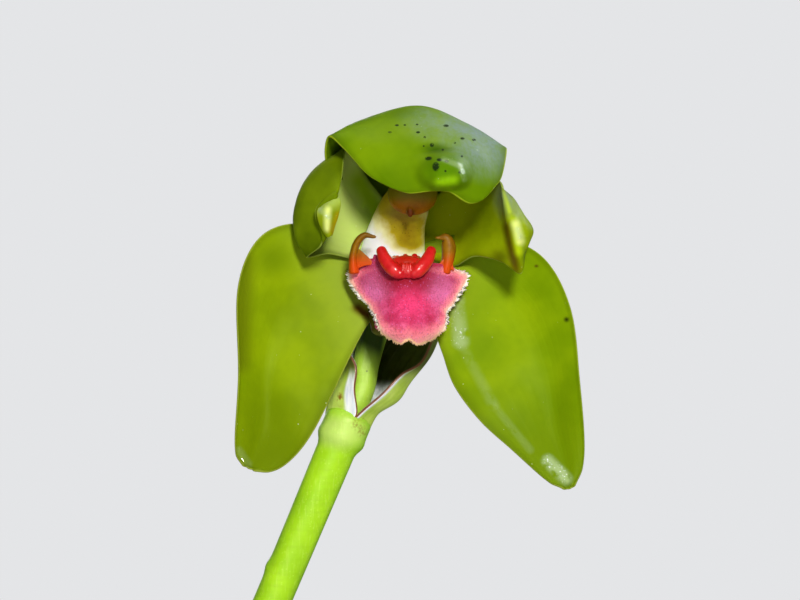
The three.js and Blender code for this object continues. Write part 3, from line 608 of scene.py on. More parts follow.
def veined(count, depth, swell, size, shift, folds=0.0):
    """Fine raised veins over a slow swelling, with a few soft folds along the blade."""

    def relief(along, across, points):
        fade = smooth(along, 0.05, 0.3)
        ribs = depth * np.cos(2 * math.pi * count * across) * fade * smooth(1 - along, 0, 0.2)
        soft = folds * np.cos(2 * math.pi * 2.6 * across + 1.3) * fade
        return ribs + soft + swell * rough(points, size, shift)

    return relief


def dome(points, centre, half, lean=0.0, power=1.0):
    """A rounded rise from 0 to 1 round a place seen from the front, leaning by so many radians."""
    x, z = points[:, 0] - centre[0], points[:, 2] - centre[1]
    x, z = x * math.cos(lean) + z * math.sin(lean), z * math.cos(lean) - x * math.sin(lean)
    return np.exp(-(((x / half[0]) ** 2 + (z / half[1]) ** 2) ** power))


def pushed(surface, amount, way=(0, -1, 0)):
    """The same surface pushed towards the front by amount(along, points)."""

    def moved(along, across):
        points = surface(along, across)
        return points + amount(along, points)[:, None] * np.array(way, float)

    return moved


def beak(along, points):
    """The blunt glossy beak at the hood's lower edge, its small second knob and the groove over both."""
    knob = 4.2 * dome(points, (9.6, 23.4), (5.5, 4), 0.2, 2.2)
    second = (1.7 * dome(points, (13.2, 21.4), (2.3, 2), 0.4, 1.5)
              + 0.8 * dome(points, (7.6, 21), (2.4, 1.5), -0.1, 1.4))
    groove = 1.1 * dome(points, (9.2, 28.8), (5.6, 0.9), 0.16)
    pit = 0.8 * dome(points, (6.0, 23.2), (1.1, 3.4), 0.1)
    return smooth(along, 0.62, 0.76) * (knob + second - groove - pit)


hood_surface = pushed(raised(soft_corners(skin(DORSAL_RIBS), 0.8, 0.56), veined(13, 0.015, 0.3, 13, 1.0)),
                      beak, (0.05, -1, -0.12))
sepal_left_surface = raised(rounded(skin(SEPAL_LEFT_RIBS)), veined(15, 0.012, 0.4, 16, 2.0, folds=0.1))
sepal_right_surface = raised(rounded(skin(SEPAL_RIGHT_RIBS)), veined(15, 0.012, 0.4, 16, 3.0, folds=-0.1))
petal_left_surface = raised(rounded(skin(PETAL_LEFT_RIBS)), veined(11, 0.012, 0.25, 11, 4.0))


def petal_right_fold(along, points):
    """The bright ridge down the petal's outer part and the nub at its corner."""
    x, z = points[:, 0], points[:, 2]
    line = np.interp(z, [-1, 5, 10.6, 16.8, 24.3], [28.9, 27.8, 26.8, 25, 23.3])
    ridge = 1.5 * np.exp(-(((x - line) / 1.1) ** 2)) * smooth(z, -1, 3) * smooth(-z, -25, -20)
    return smooth(along, 0.3, 0.5) * (ridge + 1.8 * dome(points, (29.4, 9.8), (2.4, 2.8), 0.5, 1.6))


petal_right_surface = pushed(raised(rounded(skin(PETAL_RIGHT_RIBS)), veined(11, 0.012, 0.25, 11, 5.0)),
                             petal_right_fold)


def sampled(surface):
    """Points spread over a blade."""
    steps = np.linspace(0, 1, 90)
    along, across = (grid.ravel() for grid in np.meshgrid(steps, steps))
    return surface(along, across)


def seen_at(points, across_x, up_z):
    """The one of a blade's points that lies at that place as seen from the front, on its nearest layer."""
    off = np.hypot(points[:, 0] - across_x, points[:, 2] - up_z)
    close = points[off < off.min() + 0.5]
    return tuple(float(v) for v in close[close[:, 1].argmin()])


hood_points = sampled(hood_surface)
sepal_left_points = sampled(sepal_left_surface)
sepal_right_points = sampled(sepal_right_surface)
petal_left_points = sampled(petal_left_surface)


# Dark marks on the hood: place across and up, size, and how much flatter than wide
HOOD_SPOTS = [
    (5.1, 26.8, 1.5, 1.7), (7, 24.6, 1.5, 0.75), (8.4, 26.8, 1.1, 1.5), (9.6, 26.2, 1, 1.6),
    (-1.9, 36.2, 0.9, 1.8), (0.4, 36, 0.6, 1.3), (3.1, 36.4, 0.6, 1.4), (-3.6, 34.2, 0.9, 1.9),
    (3.6, 34, 0.9, 1.7), (5.4, 32.4, 0.55, 1), (6.8, 30.8, 0.9, 1), (9.4, 29.6, 0.6, 1),
    (4.9, 30.2, 0.45, 1.2), (10.3, 35.8, 1.2, 1.9), (14.2, 32.7, 1, 1.8), (16.8, 32.4, 0.9, 1.6),
    (10.1, 23.6, 0.5, 1), (13.6, 23.6, 0.6, 1), (14, 27.6, 0.55, 1), (12.2, 31.4, 0.5, 1.2),
]
# The powder rows on the right half are partly painted sheen. The wet stripes paint a pale highlight arc over
# the beak. Of the stains, the dark one in the groove above the beak is painted shade, and the pale stripe
# along its lower edge is a painted highlight.
hood_finish = tepal_finish(
    "hood wax green", deep=(90, 122, 2), middle=(104, 136, 4), bright=(116, 146, 6), foot=(92, 112, 6),
    veins=13, line=(176, 190, 40),
    bloom_and_sheen=[((19.5, -2, 30.5), 11.5, (0.8, 0.4, 1), 0.85), ((12, 3, 36), 10, (0.6, 0.4, 1.2), 0.6)],
    wet_and_sheen=[((9.4, -14, 26.4), 1.1, (1, 0.15, 1), 0.3, (13.4, -14, 24.6)),
         ((13.4, -14, 24.6), 1.0, (1, 0.15, 1), 0.3, (14.4, -14, 21.4))],
    spots=[(seen_at(hood_points, x, z), 0.72 * size, (1, 0.12, flat)) for x, z, size, flat in HOOD_SPOTS],
    stains_and_painted_light=[((9.8, -15, 23.2), 8, (1, 0.25, 1.2), (80, 122, 2)),
            ((7.4, -8, 29.2), 4, (0.7, 0.4, 1.7), (56, 88, 2)),
            ((8, -16, 20.2), 2.2, (1, 0.15, 1), (124, 168, 6), (11.6, -16, 21))],
)
# The wet stripe at the tip paints a faint pale sheen. The reddish-brown stain at the foot beside the lip is
# partly a real stain and partly painted shadow of the lip. Two further stains darken the upper left and the
# left margin.
sepal_left_finish = tepal_finish(
    "left sepal green", deep=(110, 134, 2), middle=(123, 147, 3), bright=(134, 157, 4), foot=(158, 180, 66),
    dark_tip=(-24, -50), wet_and_sheen=[((-41, -7, -45), 1.3, (1, 0.2, 1), 0.12, (-38.6, -8, -48.4))],
    stains_and_painted_light=[(seen_at(sepal_left_points, -12, -9.8), 2.6, (1, 0.3, 1.2), (84, 54, 8),
             seen_at(sepal_left_points, -9, -11.4)),
            (seen_at(sepal_left_points, -33, 2), 8, (1, 0.3, 1), (106, 130, 3)),
            (seen_at(sepal_left_points, -40.6, 2), 4.6, (1, 0.3, 1), (98, 114, 4),
             seen_at(sepal_left_points, -40.6, -24))],
)
# The wet stripes paint a pale sheen along the lower left margin. It is strongest at the top and at the tip,
# where they also paint white glints.
sepal_right_finish = tepal_finish(
    "right sepal green", deep=(108, 138, 2), middle=(122, 150, 4), bright=(134, 160, 6), foot=(146, 170, 36),
    dark_tip=(-20, -50),
    wet_and_sheen=[((12.9, 4, -8), 3.2, (1, 0.2, 1), 0.7, (14, 1, -18)),
         ((13.6, 1, -18), 2.2, (1, 0.2, 1), 0.16, (22, -4, -34)),
         ((22, -5, -34), 1.5, (1, 0.2, 1), 0.12, (31, -6, -45)),
         ((35.4, -7, -47.8), 2.3, (1, 0.2, 1), 0.75, (39.6, -8, -52))],
    stains_and_painted_light=[(seen_at(sepal_right_points, 32.6, 0.3), 0.9, (1, 0.3, 1.4), (70, 50, 8)),
            (seen_at(sepal_right_points, 40.3, -13.2), 1.1, (1, 0.3, 1), (24, 24, 6))],
)
# The pale foot here partly stands in for light on the inner face. The green stain from high near the column
# downwards is painted shade of the hood on that face.
petal_left_finish = tepal_finish(
    "left petal green", deep=(80, 100, 2), middle=(97, 118, 3), bright=(114, 136, 8), foot=(218, 240, 128),
    veins=11, line=(164, 182, 70), foot_reach=0.64,
    stains_and_painted_light=[((-18.4, 1, 6), 2.6, (1, 0.3, 1), (150, 124, 24)),
            (seen_at(petal_left_points, -11, 22), 6, (1, 0.3, 1), (140, 172, 10),
             seen_at(petal_left_points, -6, 12))],
)
# The powder strip is partly painted sheen, and the wet spots paint glints on the nub. The pale stain stripes
# down the ridge, along the fold and on the nub are painted highlights.
petal_right_finish = tepal_finish(
    "right petal green", deep=(116, 134, 2), middle=(134, 154, 3), bright=(150, 172, 6), foot=(172, 184, 10),
    veins=11, line=(176, 190, 96), bloom_and_sheen=[((27, 0, 18), 6, (1, 0.4, 0.7), 0.8)],
    wet_and_sheen=[((27.6, -7, 9.4), 1.2, (1, 0.2, 1), 0.5, (28.2, -7, 7.6)), ((31, -2, 9.8), 1.2, (1, 0.3, 1), 0.6)],
    stains_and_painted_light=[((25, -7, 10), 2.0, (1, 0.2, 1), (104, 94, 2), (27.4, -7, -0.4)),
            ((30, -7, 3), 3, (1, 0.2, 1), (92, 116, 2)),
            ((23.5, -6, 22), 1, (1, 0.2, 1), (176, 198, 50), (25.8, -8, 14)),
            ((26.8, -6, 11.6), 2, (1, 0.2, 1), (162, 184, 14), (28, -8, 4)),
            ((23.4, -5, 2.4), 3.8, (1, 0.2, 1), (88, 98, 2)),
            ((27.2, -7, 10.6), 1.9, (1, 0.2, 1), (218, 228, 126), (28.4, -7, 6.6))],
)

CROWN = ["flower_tepals"]
for tepal_name, tepal_surface, tepal_look, rows, columns in [
    ("hood", hood_surface, hood_finish, 76, 64),
    ("sepal_left", sepal_left_surface, sepal_left_finish, 64, 48),
    ("sepal_right", sepal_right_surface, sepal_right_finish, 64, 48),
    ("petal_left", petal_left_surface, petal_left_finish, 56, 48),
    ("petal_right", petal_right_surface, petal_right_finish, 56, 48),
]:
    sheet_piece(tepal_name, CROWN, [tepal_look], rows, columns, tepal_surface, TEPAL_THICK,
                weight=tepal_share)

# The small fold at the left petal's corner, from its upper edge down to its point
NUB_RIBS = [
    [(-16.2, -4.6, 17.5), (-18.7, -6.4, 16.2), (-21.4, -6, 14.4)],
    [(-16, -5.8, 15.8), (-19, -8.6, 14.2), (-21.6, -7, 13.2)],
    [(-16.8, -6, 12.4), (-19.2, -8.6, 11.6), (-21, -7, 11)],
    [(-17.8, -6, 9.8), (-19, -7.8, 9.3), (-20, -6.8, 9)],
    [(-18.5, -6.2, 8), (-18.7, -6.6, 7.8), (-18.9, -6.4, 7.7)],
]
# The wet stripe paints glints, and the pale stain stripe paints a highlight along the fold's ridge.
nub_finish = tepal_finish(
    "petal nub green", deep=(128, 146, 8), middle=(144, 162, 12), bright=(160, 178, 24), foot=(168, 190, 90),
    veins=6, line=(206, 220, 130), wet_and_sheen=[((-20.6, -7, 14), 1.2, (1, 0.3, 1), 0.7, (-19, -8, 12.6))],
    stains_and_painted_light=[((-19, -8.6, 14.2), 1.5, (1, 0.3, 1), (212, 222, 124), (-19.2, -8.6, 9.6)),
            ((-16.6, -6, 13), 1.6, (1, 0.3, 1), (156, 140, 10), (-18, -6, 9))])
sheet_piece("petal_left_nub", CROWN, [nub_finish], 24, 20,
            raised(skin(NUB_RIBS), veined(6, 0.02, 0.25, 2.5, 8.0)), 0.9)

receptacle_finish = Finish("receptacle green", roughness=0.45, specular_ior_level=0.35)
receptacle_finish.colour(receptacle_finish.blend(receptacle_finish.grain(6, 4.0), (0.35, (112, 140, 20)),
                                                 (0.65, (150, 176, 50))))
receptacle_finish.bump(receptacle_finish.grain(0.8, 3.0), 0.08)
limb_piece("receptacle", CROWN, [receptacle_finish.made], 28, 40,
           lump((0, 19.5, 6), (5.4, 5.2, 8), (0.1, 0, 0), ripple=0.04))

# Lip


def lip_depth(x, z):
    """How far forward the lip stands at a place seen from the front."""
    wing = np.abs(x - LIP_HEART[0]) / 15
    ridge = 5 * np.exp(-((x - LIP_HEART[0]) ** 2) / 60)
    return 1.5 - ridge - 4.5 * smooth(-z, 4, 20) + 4.4 * wing**2 + 3.2 * smooth(-z, 15, 20)


def lip_fringe(across, z):
    """How far each place of the margin is cut back between the teeth of the fringe."""
    tooth = across * FRINGE_TEETH + 0.35 * np.sin(across * 97) + 0.3 * np.sin(across * 311)
    number, phase = np.floor(tooth), tooth % 1
    chance = np.abs(np.sin(number * 12.9898) * 43758.5453) % 1
    cut = np.abs(2 * phase - 1) ** (0.6 + 0.5 * chance)
    tongue = smooth(-z, 13, 17)
    return FRINGE_DEPTH * (0.4 + 0.6 * chance) * cut * smooth(-z, -0.4, 0.6) * (1 - 0.6 * tongue)


def lip_surface(along, across):
    edge = spline(LIP_MARGIN + LIP_MARGIN[:1], across, clamped=True)
    reach = np.hypot(*(edge - LIP_HEART).T)
    share = along**0.85
    share = share - smooth(along, 0.9, 1) * lip_fringe(across, edge[:, 1]) / reach
    x, z = (LIP_HEART + (edge - LIP_HEART) * share[:, None]).T
    curl = 0.5 * smooth(along, 0.86, 1) * np.sin(across * 2 * math.pi * 7 + 1) * smooth(-z, 0, 4)
    points = np.stack([x, lip_depth(x, z) + curl, z], 1)
    pebbles = 0.09 * rough(points, 0.75, 6) + 0.16 * rough(points, 2.4, 7)
    points[:, 1] += pebbles * smooth(along, 0.0, 0.15)
    return points


def lip_share(along, across):
    return np.interp(along**0.85, [0, 0.4, 0.75, 1], [1, 0.94, 0.75, 0.3])


velvet = Finish("lip velvet", roughness=0.55, specular_ior_level=0.16, specular_tint=(1, 0.7, 0.95, 1),
                sheen_weight=0.25, sheen_roughness=0.4, sheen_tint=(0.9, 0.6, 1.0, 1),
                subsurface_weight=0.1, subsurface_scale=0.0012, subsurface_radius=(1.0, 0.35, 0.35))
velvet.tone = velvet.blend(velvet.grain(3.2, 4.0), (0.3, (182, 38, 70)), (0.5, (206, 54, 100)),
                           (0.7, (226, 90, 138)))
heart_glow = velvet.near((1.6, -4, -8.4), 6.4, 0.1, (0.8, 0.2, 1))
velvet.over(heart_glow, (240, 62, 118), 0.8)
for side in (-1, 1):
    cheek = velvet.near((0.6 + side * 8.6, 0, -4.6), 6.4, 0.1, (1, 0.2, 0.9))
    velvet.over(cheek, (250, 132, 194), 0.9)
top_red = velvet.band(velvet.math("MULTIPLY_ADD", velvet.grain(2.5, 3.0), 3.0, velvet.z), -7.6, -1.2)
off_middle = velvet.math("ABSOLUTE", velvet.math("SUBTRACT", velvet.x, float(LIP_HEART[0])))
red_share = velvet.math("MULTIPLY_ADD", velvet.band(off_middle, 9, 3), 0.4, 0.54)
velvet.over(velvet.times(top_red, red_share), (146, 8, 24))
ragged = velvet.math("MULTIPLY_ADD", velvet.grain(1.8, 4.0), 0.18, velvet.along)
below = velvet.band(velvet.z, 0.6, -2)
velvet.over(velvet.times(below, velvet.band(ragged, 0.7, 0.92)), (255, 136, 152))
velvet.over(velvet.times(below, velvet.band(ragged, 0.88, 0.98)), (255, 188, 168))
tongue = velvet.times(velvet.band(velvet.z, -13, -18), 0.55)
velvet.over(tongue, (248, 140, 146))
fringe_tone = velvet.mix(velvet.band(velvet.z, -13, -17), srgb(255, 246, 232), srgb(250, 196, 146))
velvet.over(velvet.times(below, velvet.band(ragged, 0.97, 1.02)), fringe_tone)
glitter = velvet.specks(0.55, 0.32, 0.34)
velvet.over(glitter, (222, 140, 226), 0.4)
pores = velvet.band(velvet.grain(0.5, 3.0), 0.5, 0.62)
inner = velvet.band(velvet.along, 0.95, 0.8)
velvet.over(velvet.times(pores, inner), (142, 14, 42), 0.28)
velvet.colour()
velvet.gloss(velvet.grain(0.5, 2.0), 0.38, 0.7)
velvet.bump(velvet.cells(0.5)[0], 0.2)
velvet.bump(velvet.grain(1.5, 3.0), 0.2)

bm = bmesh.new()
add_patch(bm, 26, FRINGE_TEETH * 6, lip_surface, FLOWER, weight=lip_share)
bmesh.ops.remove_doubles(bm, verts=bm.verts[:], dist=1e-6)
lip_blade = piece(bm, "lip_middle_lobe", ["lip"], [velvet.made])
lip_blade.vertex_groups.new(name="thickness")
thickened(lip_blade, LIP_THICK)
limb_piece("lip_claw", ["lip"], [velvet.made], 40, 40,
           limb(CLAW_PATH, flowing(3, 4.2, 6.4, 8.4, 9), flowing(1, 0.9, 0.9, 1, 1), caps=(0.8, 0.6)))

# Callus and side lobes

wax_red = Finish("callus red", roughness=0.3, specular_ior_level=0.45, coat_weight=0.25, coat_roughness=0.16,
                 subsurface_weight=0.12, subsurface_scale=0.001, subsurface_radius=(1.0, 0.2, 0.15))
wax_red.tone = wax_red.blend(wax_red.grain(2.6, 3.0), (0.3, (190, 12, 18)), (0.7, (222, 36, 36)))
wax_red.over(wax_red.near((0.4, -3, 1.2), 4.2, 0.1), (180, 32, 4))
wax_red.over(wax_red.band(wax_red.z, -0.5, -3), (182, 14, 40), 0.5)
wax_red.colour()
wax_red.gloss(wax_red.grain(1.4, 2.0), 0.22, 0.42)
wax_red.bump(wax_red.grain(0.9, 3.0), 0.12)


def horn(path):
    return limb(path, flowing(1.3, 1.6, 1.75, 1.75, 1.3), caps=(1.1, 0.9), cap_share=0.14)


def saddle_ridge(x):
    path = [(x * 1.3, 1.5, 2.2), (x * 1.2, -2.4, 1.2), (x, -4.6, -0.8), (x, -4.8, -2)]
    return limb(path, flowing(1, 1.15, 1.05, 0.9), caps=(0.8, 0.7), cap_share=0.12)


fused_piece(
    "callus", ["lip_callus"], [wax_red.made],
    [horn(HORN_LEFT), horn(HORN_RIGHT), *(saddle_ridge(x) for x in SADDLE_RIDGES),
     *(lump((x, -0.6, z), (0.85, 1.1, 0.95)) for x, z in [(-1.9, 2.2), (0.1, 2.6), (2.4, 2.7)]),
     *(lump((x, -5, -0.6), (0.5, 0.8, 2)) for x in (-0.5, 0.4, 1.3)), lump((0.3, -1.8, 0.3), (5, 2.6, 2.8))],
    voxel=0.16, rounds=4,
)

amber = Finish("side lobe amber", roughness=0.42, specular_ior_level=0.14, subsurface_weight=0.08,
               subsurface_scale=0.001, subsurface_radius=(1.0, 0.5, 0.1))
amber.tone = amber.blend(amber.grain(2.2, 4.0), (0.3, (112, 72, 4)), (0.7, (148, 104, 12)))
amber.over(amber.band(amber.z, 5, 0), (206, 72, 12))
amber.over(amber.band(amber.z, 6.4, 8.4), (112, 74, 8), 0.6)
amber.colour()
amber.gloss(amber.grain(1.2, 2.0), 0.25, 0.5)
amber.bump(amber.grain(0.5, 3.0), 0.08)

# The thin web between each side lobe and the callus
WEB_LEFT = [
    [(-13.2, 2.4, -1.2), (-10.6, 1.8, 0.4), (-7.4, 1.4, 0.8)],
    [(-12.6, 2.6, 2.6), (-10.9, 2, 2.7), (-8.6, 1.6, 2.2)],
    [(-12.2, 2.8, 5.2), (-11.7, 2.6, 5), (-11.2, 2.4, 4.6)],
]
WEB_RIGHT = [
    [(12.4, 2.4, -0.8), (10, 1.8, 0.2), (7.4, 1.4, 0.6)],
    [(11.8, 2.6, 2), (10.2, 2, 2), (8.8, 1.6, 1.4)],
    [(11.6, 2.8, 4), (11, 2.6, 3.8), (10.4, 2.4, 3.4)],
]
for side, path, widths, web in [
    ("left", LOBE_LEFT, (1.35, 1.05, 1.0, 0.8, 0.45), WEB_LEFT),
    ("right", LOBE_RIGHT, (1.3, 1.6, 1.8, 1.25, 0.4), WEB_RIGHT),
]:
    node = [f"lip_side_lobe_{side}"]
    hook = limb(path, flowing(*widths), flowing(2.4, 2.3, 1.8, 1.1, 0.4), caps=(0.6, 0.8), cap_share=0.1)
    limb_piece(f"side_lobe_{side}", node, [amber.made], 48, 28, hook)
    sheet_piece(f"side_lobe_web_{side}", node, [amber.made], 12, 12, skin(web), 0.7)

# Column, anther cap and ovary

cream = Finish("column cream", roughness=0.4, specular_ior_level=0.35, subsurface_weight=0.2,
               subsurface_scale=0.0015, subsurface_radius=(1.0, 0.8, 0.5))
# The attribute holds the mustard share up the column and, at the foot, painted shade.
mustard_and_shade = cream.add("ShaderNodeAttribute", attribute_name="mustard_and_shade").outputs["Fac"]
mustard_and_shade = cream.math("ADD", mustard_and_shade, cream.times(cream.math("SUBTRACT", cream.grain(2.4, 4.0), 0.5), 0.3))
cream.tone = cream.blend(mustard_and_shade, (0.14, (255, 255, 255)), (0.36, (236, 232, 168)), (0.6, (184, 164, 22)),
                         (0.86, (132, 104, 4)), (1.0, (78, 70, 8)))
freckles = cream.times(cream.specks(0.75, 0.3, 0.5), cream.near((0, 9, 10), 4.8, 0.2, (0.8, 0.2, 1)))
cream.over(freckles, (74, 44, 6), 0.6)
cream.colour()
cream.gloss(cream.grain(3, 2.0), 0.32, 0.5)
cream.bump(cream.grain(0.6, 3.0), 0.06)
column = fused_piece(
    "column", ["column"], [cream.made],
    [limb(COLUMN_PATH, flowing(8.6, 7.8, 6.8, 6, 4.6), flowing(4.6, 4.2, 3.6, 3.2, 2.4), caps=(1, 0.8)),
     limb(FOOT_PATH, flowing(6, 5.4, 4.8, 3.6), flowing(2.6, 3, 3, 2.8), caps=(1, 1))],
    voxel=0.3, rounds=5,
)
spots_x, spots_y, spots_z = points_of(column).T
lean = np.interp(spots_z, [2, 8, 14, 19], [2, 1, -1, -0.6])
breadth = np.interp(spots_z, [2, 5, 9, 13, 17], [3, 5, 7, 9.4, 12])
mustard_share = np.exp(-(((spots_x - lean) / breadth) ** 2)) * smooth(spots_z, 1.4, 6.5)
# The foot below the lip turns dark olive: partly its own colour, partly painted shade in the recess behind
# the lip.
chin_shade = smooth(-spots_z, 3, 8)
mark(column, "mustard_and_shade", np.maximum(0.76 * mustard_share * smooth(-spots_y, -16, -10), 1.2 * chin_shade))

amber_cap = Finish("anther cap orange", roughness=0.46, specular_ior_level=0.15, subsurface_weight=0.15,
                   subsurface_scale=0.0012, subsurface_radius=(1.0, 0.5, 0.1))
amber_cap.tone = amber_cap.blend(amber_cap.grain(3.4, 3.0), (0.3, (132, 80, 2)), (0.7, (168, 100, 2)))
amber_cap.over(amber_cap.band(amber_cap.z, 14.8, 18.4), (116, 104, 2))
amber_cap.over(amber_cap.near((1.3, -2, 13.4), 1.7, 0.5, (1, 0.3, 1)), (96, 44, 8))
amber_cap.colour()
amber_cap.bump(amber_cap.grain(1.0, 3.0), 0.1)
fused_piece(
    "anther_cap", ["anther_cap"], [amber_cap.made],
    [lump((1.9, 1.6, 18.6), (6.3, 4.6, 5.4), (0.2, 0, 0)), lump((1.3, -1, 14.2), (0.9, 1.2, 1.6))],
    voxel=0.2, rounds=3,
)


def stem_finish(name, low, high, pale):
    f = Finish(name, roughness=0.5, specular_ior_level=0.65, specular_tint=(0.9, 1.0, 0.6, 1),
               subsurface_weight=0.1, subsurface_scale=0.0012, subsurface_radius=(0.6, 1.0, 0.2))
    f.tone = f.blend(f.grain(9, 3.0), (0.3, low), (0.7, high))
    fibre = f.grain(0.5, 3.0, (1, 1, 14))
    f.over(f.band(fibre, 0.5, 0.75), pale, 0.3)
    mottle = f.times(f.specks(0.9, 0.34, 0.5), 0.25)
    f.over(mottle, pale)
    rings = f.band(f.grain(1.1, 3.0, (5, 5, 1)), 0.45, 0.7)
    f.over(rings, tuple(0.86 * v for v in low), 0.14)
    f.over(f.specks(7, 0.035, 0.5), (70, 92, 20), 0.8)
    f.gloss(f.grain(4, 2.0), 0.4, 0.58)
    f.bump(fibre, 0.06)
    f.bump(f.grain(0.6, 3.0, (3, 3, 1)), 0.05)
    return f


ovary_look = stem_finish("ovary green", (158, 196, 52), (178, 214, 72), (200, 230, 116))
# Painted shadow: the upper front of the ovary, under the lip, is darkened.
dark_reach = ovary_look.math("MULTIPLY_ADD", ovary_look.x, 0.5, ovary_look.z)
painted_shadow = ovary_look.times(ovary_look.band(dark_reach, -29.5, -23.5),
                               ovary_look.band(ovary_look.y, 22, 19))
ovary_look.over(painted_shadow, (36, 62, 2))
ovary_look.over(ovary_look.near((-9.8, 17, -26.4), 0.5, 0.5), (60, 74, 20))
ovary_look.colour()
limb_piece(
    "ovary", ["ovary"], [ovary_look.made], 96, 48,
    limb(OVARY_PATH, flowing(2.8, 3.2, 3.2, 3.3, 3.6, 4.1, 4.2), caps=(0.3, 0.6), cap_share=0.03,
         ridge=lambda t, angle: 1 + 0.035 * np.cos(6 * angle) * smooth(t, 0.05, 0.5)),
)

# Floral bract

bract_out = Finish("bract outside", roughness=0.42, specular_ior_level=0.35, subsurface_weight=0.1,
                   subsurface_scale=0.001, subsurface_radius=(0.6, 1.0, 0.2))
bract_out.tone = bract_out.blend(bract_out.grain(6, 3.0), (0.3, (150, 180, 40)), (0.7, (190, 212, 96)))
rib_lines = bract_out.lines(22, waver=0.6)
bract_out.over(rib_lines, (186, 204, 112), 0.1)
bract_edge = bract_out.inset(3.0)
membrane = bract_out.blend(bract_out.grain(0.7, 4.0, (1, 1, 7)), (0.3, (216, 220, 232)),
                           (0.7, (252, 253, 255)))
# Painted shade: the outside darkens towards its top, under the lip, and its pale rim shows only lower down.
painted_shade_top = bract_out.times(bract_out.band(bract_out.z, -28.6, -24.6), 0.9)
bract_out.over(painted_shade_top, (84, 92, 14))
bract_rim = bract_out.math("MULTIPLY_ADD", bract_out.band(bract_out.across, 0.5, 0.4), -0.05, bract_edge)
rim_shows = bract_out.times(bract_out.band(bract_rim, 0.045, 0.015), bract_out.band(bract_out.z, -25, -29))
bract_out.over(rim_shows, membrane)
rust = bract_out.near((-16.6, 15, -33.4), 1.8, 0.2, (1.6, 0.5, 0.7))
bract_out.over(bract_out.times(rust, bract_out.band(bract_out.grain(1, 3.0), 0.4, 0.6)), (134, 92, 24))
bract_out.over(bract_out.band(bract_edge, 0.006, 0.002), (150, 96, 70))
bract_out.colour()
bract_out.bump(rib_lines, 0.04)
bract_out.bump(bract_out.grain(0.7, 3.0), 0.06)

bract_in = Finish("bract inside", roughness=0.32, specular_ior_level=0.45)
silver = bract_in.blend(bract_in.grain(0.8, 4.0, (1, 1, 7)), (0.3, (196, 204, 204)), (0.7, (248, 250, 254)))
olive = bract_in.blend(bract_in.grain(5, 3.0), (0.3, (40, 46, 2)), (0.7, (62, 70, 6)))
shadowed = bract_in.math("MAXIMUM", bract_in.band(bract_in.z, -31.5, -28.5),
                         bract_in.times(bract_in.band(bract_in.x, -6.5, -3),
                                        bract_in.band(bract_in.z, -33, -28)))
left_side = bract_in.band(bract_in.x, -9.6, -11.4)
shadowed = bract_in.times(shadowed, bract_in.math("SUBTRACT", 1.0, left_side))
bract_in.tone = bract_in.mix(shadowed, silver, olive)
inner_edge = bract_in.inset(3.0)
bract_in.over(bract_in.band(inner_edge, 0.005, 0.002), (120, 74, 52))
bract_in.colour()
bract_in.bump(bract_in.lines(22, waver=0.6), 0.1)


def bract_relief(along, across, points):
    ribs = 0.012 * np.cos(2 * math.pi * 18 * across) * smooth(along, 0, 0.2)
    return ribs + 0.3 * rough(points, 6, 9) * smooth(along, 0.05, 0.3)


sheet_piece("floral_bract", ["floral_bract"], [bract_in.made, bract_out.made], 44, 60,
            raised(skin(BRACT_RIBS), bract_relief), 0.8, other_side=1)

# Scape and its sheaths

scape_radius = flowing(*SCAPE_RADII)


def scape_ridge(t, angle):
    """The ringed joint under the bract, a scar low on the left, and the stem's slight unevenness."""
    joint = 1.0 * smooth(t, 0.971, 0.985) + 0.35 * np.exp(-(((t - 0.981) / 0.006) ** 2))
    scar = 0.5 * np.exp(-(((t - 0.853) / 0.006) ** 2) - ((np.cos(angle) + 1) / 0.12) ** 2)
    wander = 0.012 * np.sin(3 * angle + 9 * t) + 0.008 * np.sin(5 * angle - 23 * t)
    return 1 + (joint + scar) / 5.1 + wander


scape_look = stem_finish("scape green", (150, 204, 10), (172, 223, 18), (206, 242, 92))
ring_pale = scape_look.times(scape_look.near((-16.4, 14, -41.5), 7.5, 0.3, (0.8, 0.5, 1.2)), 0.6)
scape_look.over(ring_pale, (206, 226, 128))
ring_mark = scape_look.near((-12.4, 12, -39.6), 2.2, 0.0, (1, 0.3, 1), (-10, 12, -42.6))
ring_rust = scape_look.times(ring_mark, scape_look.band(scape_look.grain(0.7, 5.0), 0.38, 0.68))
scape_look.over(ring_rust, (138, 116, 26), 0.75)
# Painted shade: darker green down both sides of the stem as seen from the front.
flank_shade = scape_look.math("COSINE", scape_look.times(scape_look.across, 4 * math.pi))
scape_look.over(scape_look.band(flank_shade, 0.1, 1), (112, 168, 4), 0.4)
lower = scape_look.band(scape_look.z, -84, -190)
scape_look.over(lower, (122, 156, 44), 0.8)
scape_look.colour()
limb_piece("scape", ["scape"], [scape_look.made], 320, 56,
           limb(SCAPE_PATH, scape_radius, ridge=scape_ridge, caps=(0.2, 3), cap_share=0.016),
           origin=(0, 0, 0))

# Start, end and the way each sheath faces, as in the part's source
SHEATH_STRETCHES = [(0.14, 0.27, 0.6), (0.34, 0.46, 3.4), (0.54, 0.65, 5.4)]
SHEATH_THICK = 0.9


def scape_sheath(start, end, facing):
    path = np.array(SCAPE_PATH, float)

    def surface(along, across):
        t = start + (end - start) * along
        ahead = heading(path, t)
        side = unit(np.cross(np.array([0.0, 1.0, 0.0]), ahead))
        front = np.cross(ahead, side)
        radius = scape_radius(t) + CLEAR + SHEATH_THICK / 2 + 0.4 + 1.8 * along**2
        spread = (0.96 + (0.12 - 0.96) * along**1.5) * math.pi
        angle = facing + spread * (2 * across - 1)
        radius = radius + 0.05 * np.cos(2 * math.pi * 16 * across) + 0.15 * np.sin(9 * along + 5 * across)
        sideways, forwards = radius * np.cos(angle), radius * np.sin(angle)
        return spline(path, t) + side * sideways[:, None] + front * forwards[:, None]

    return surface


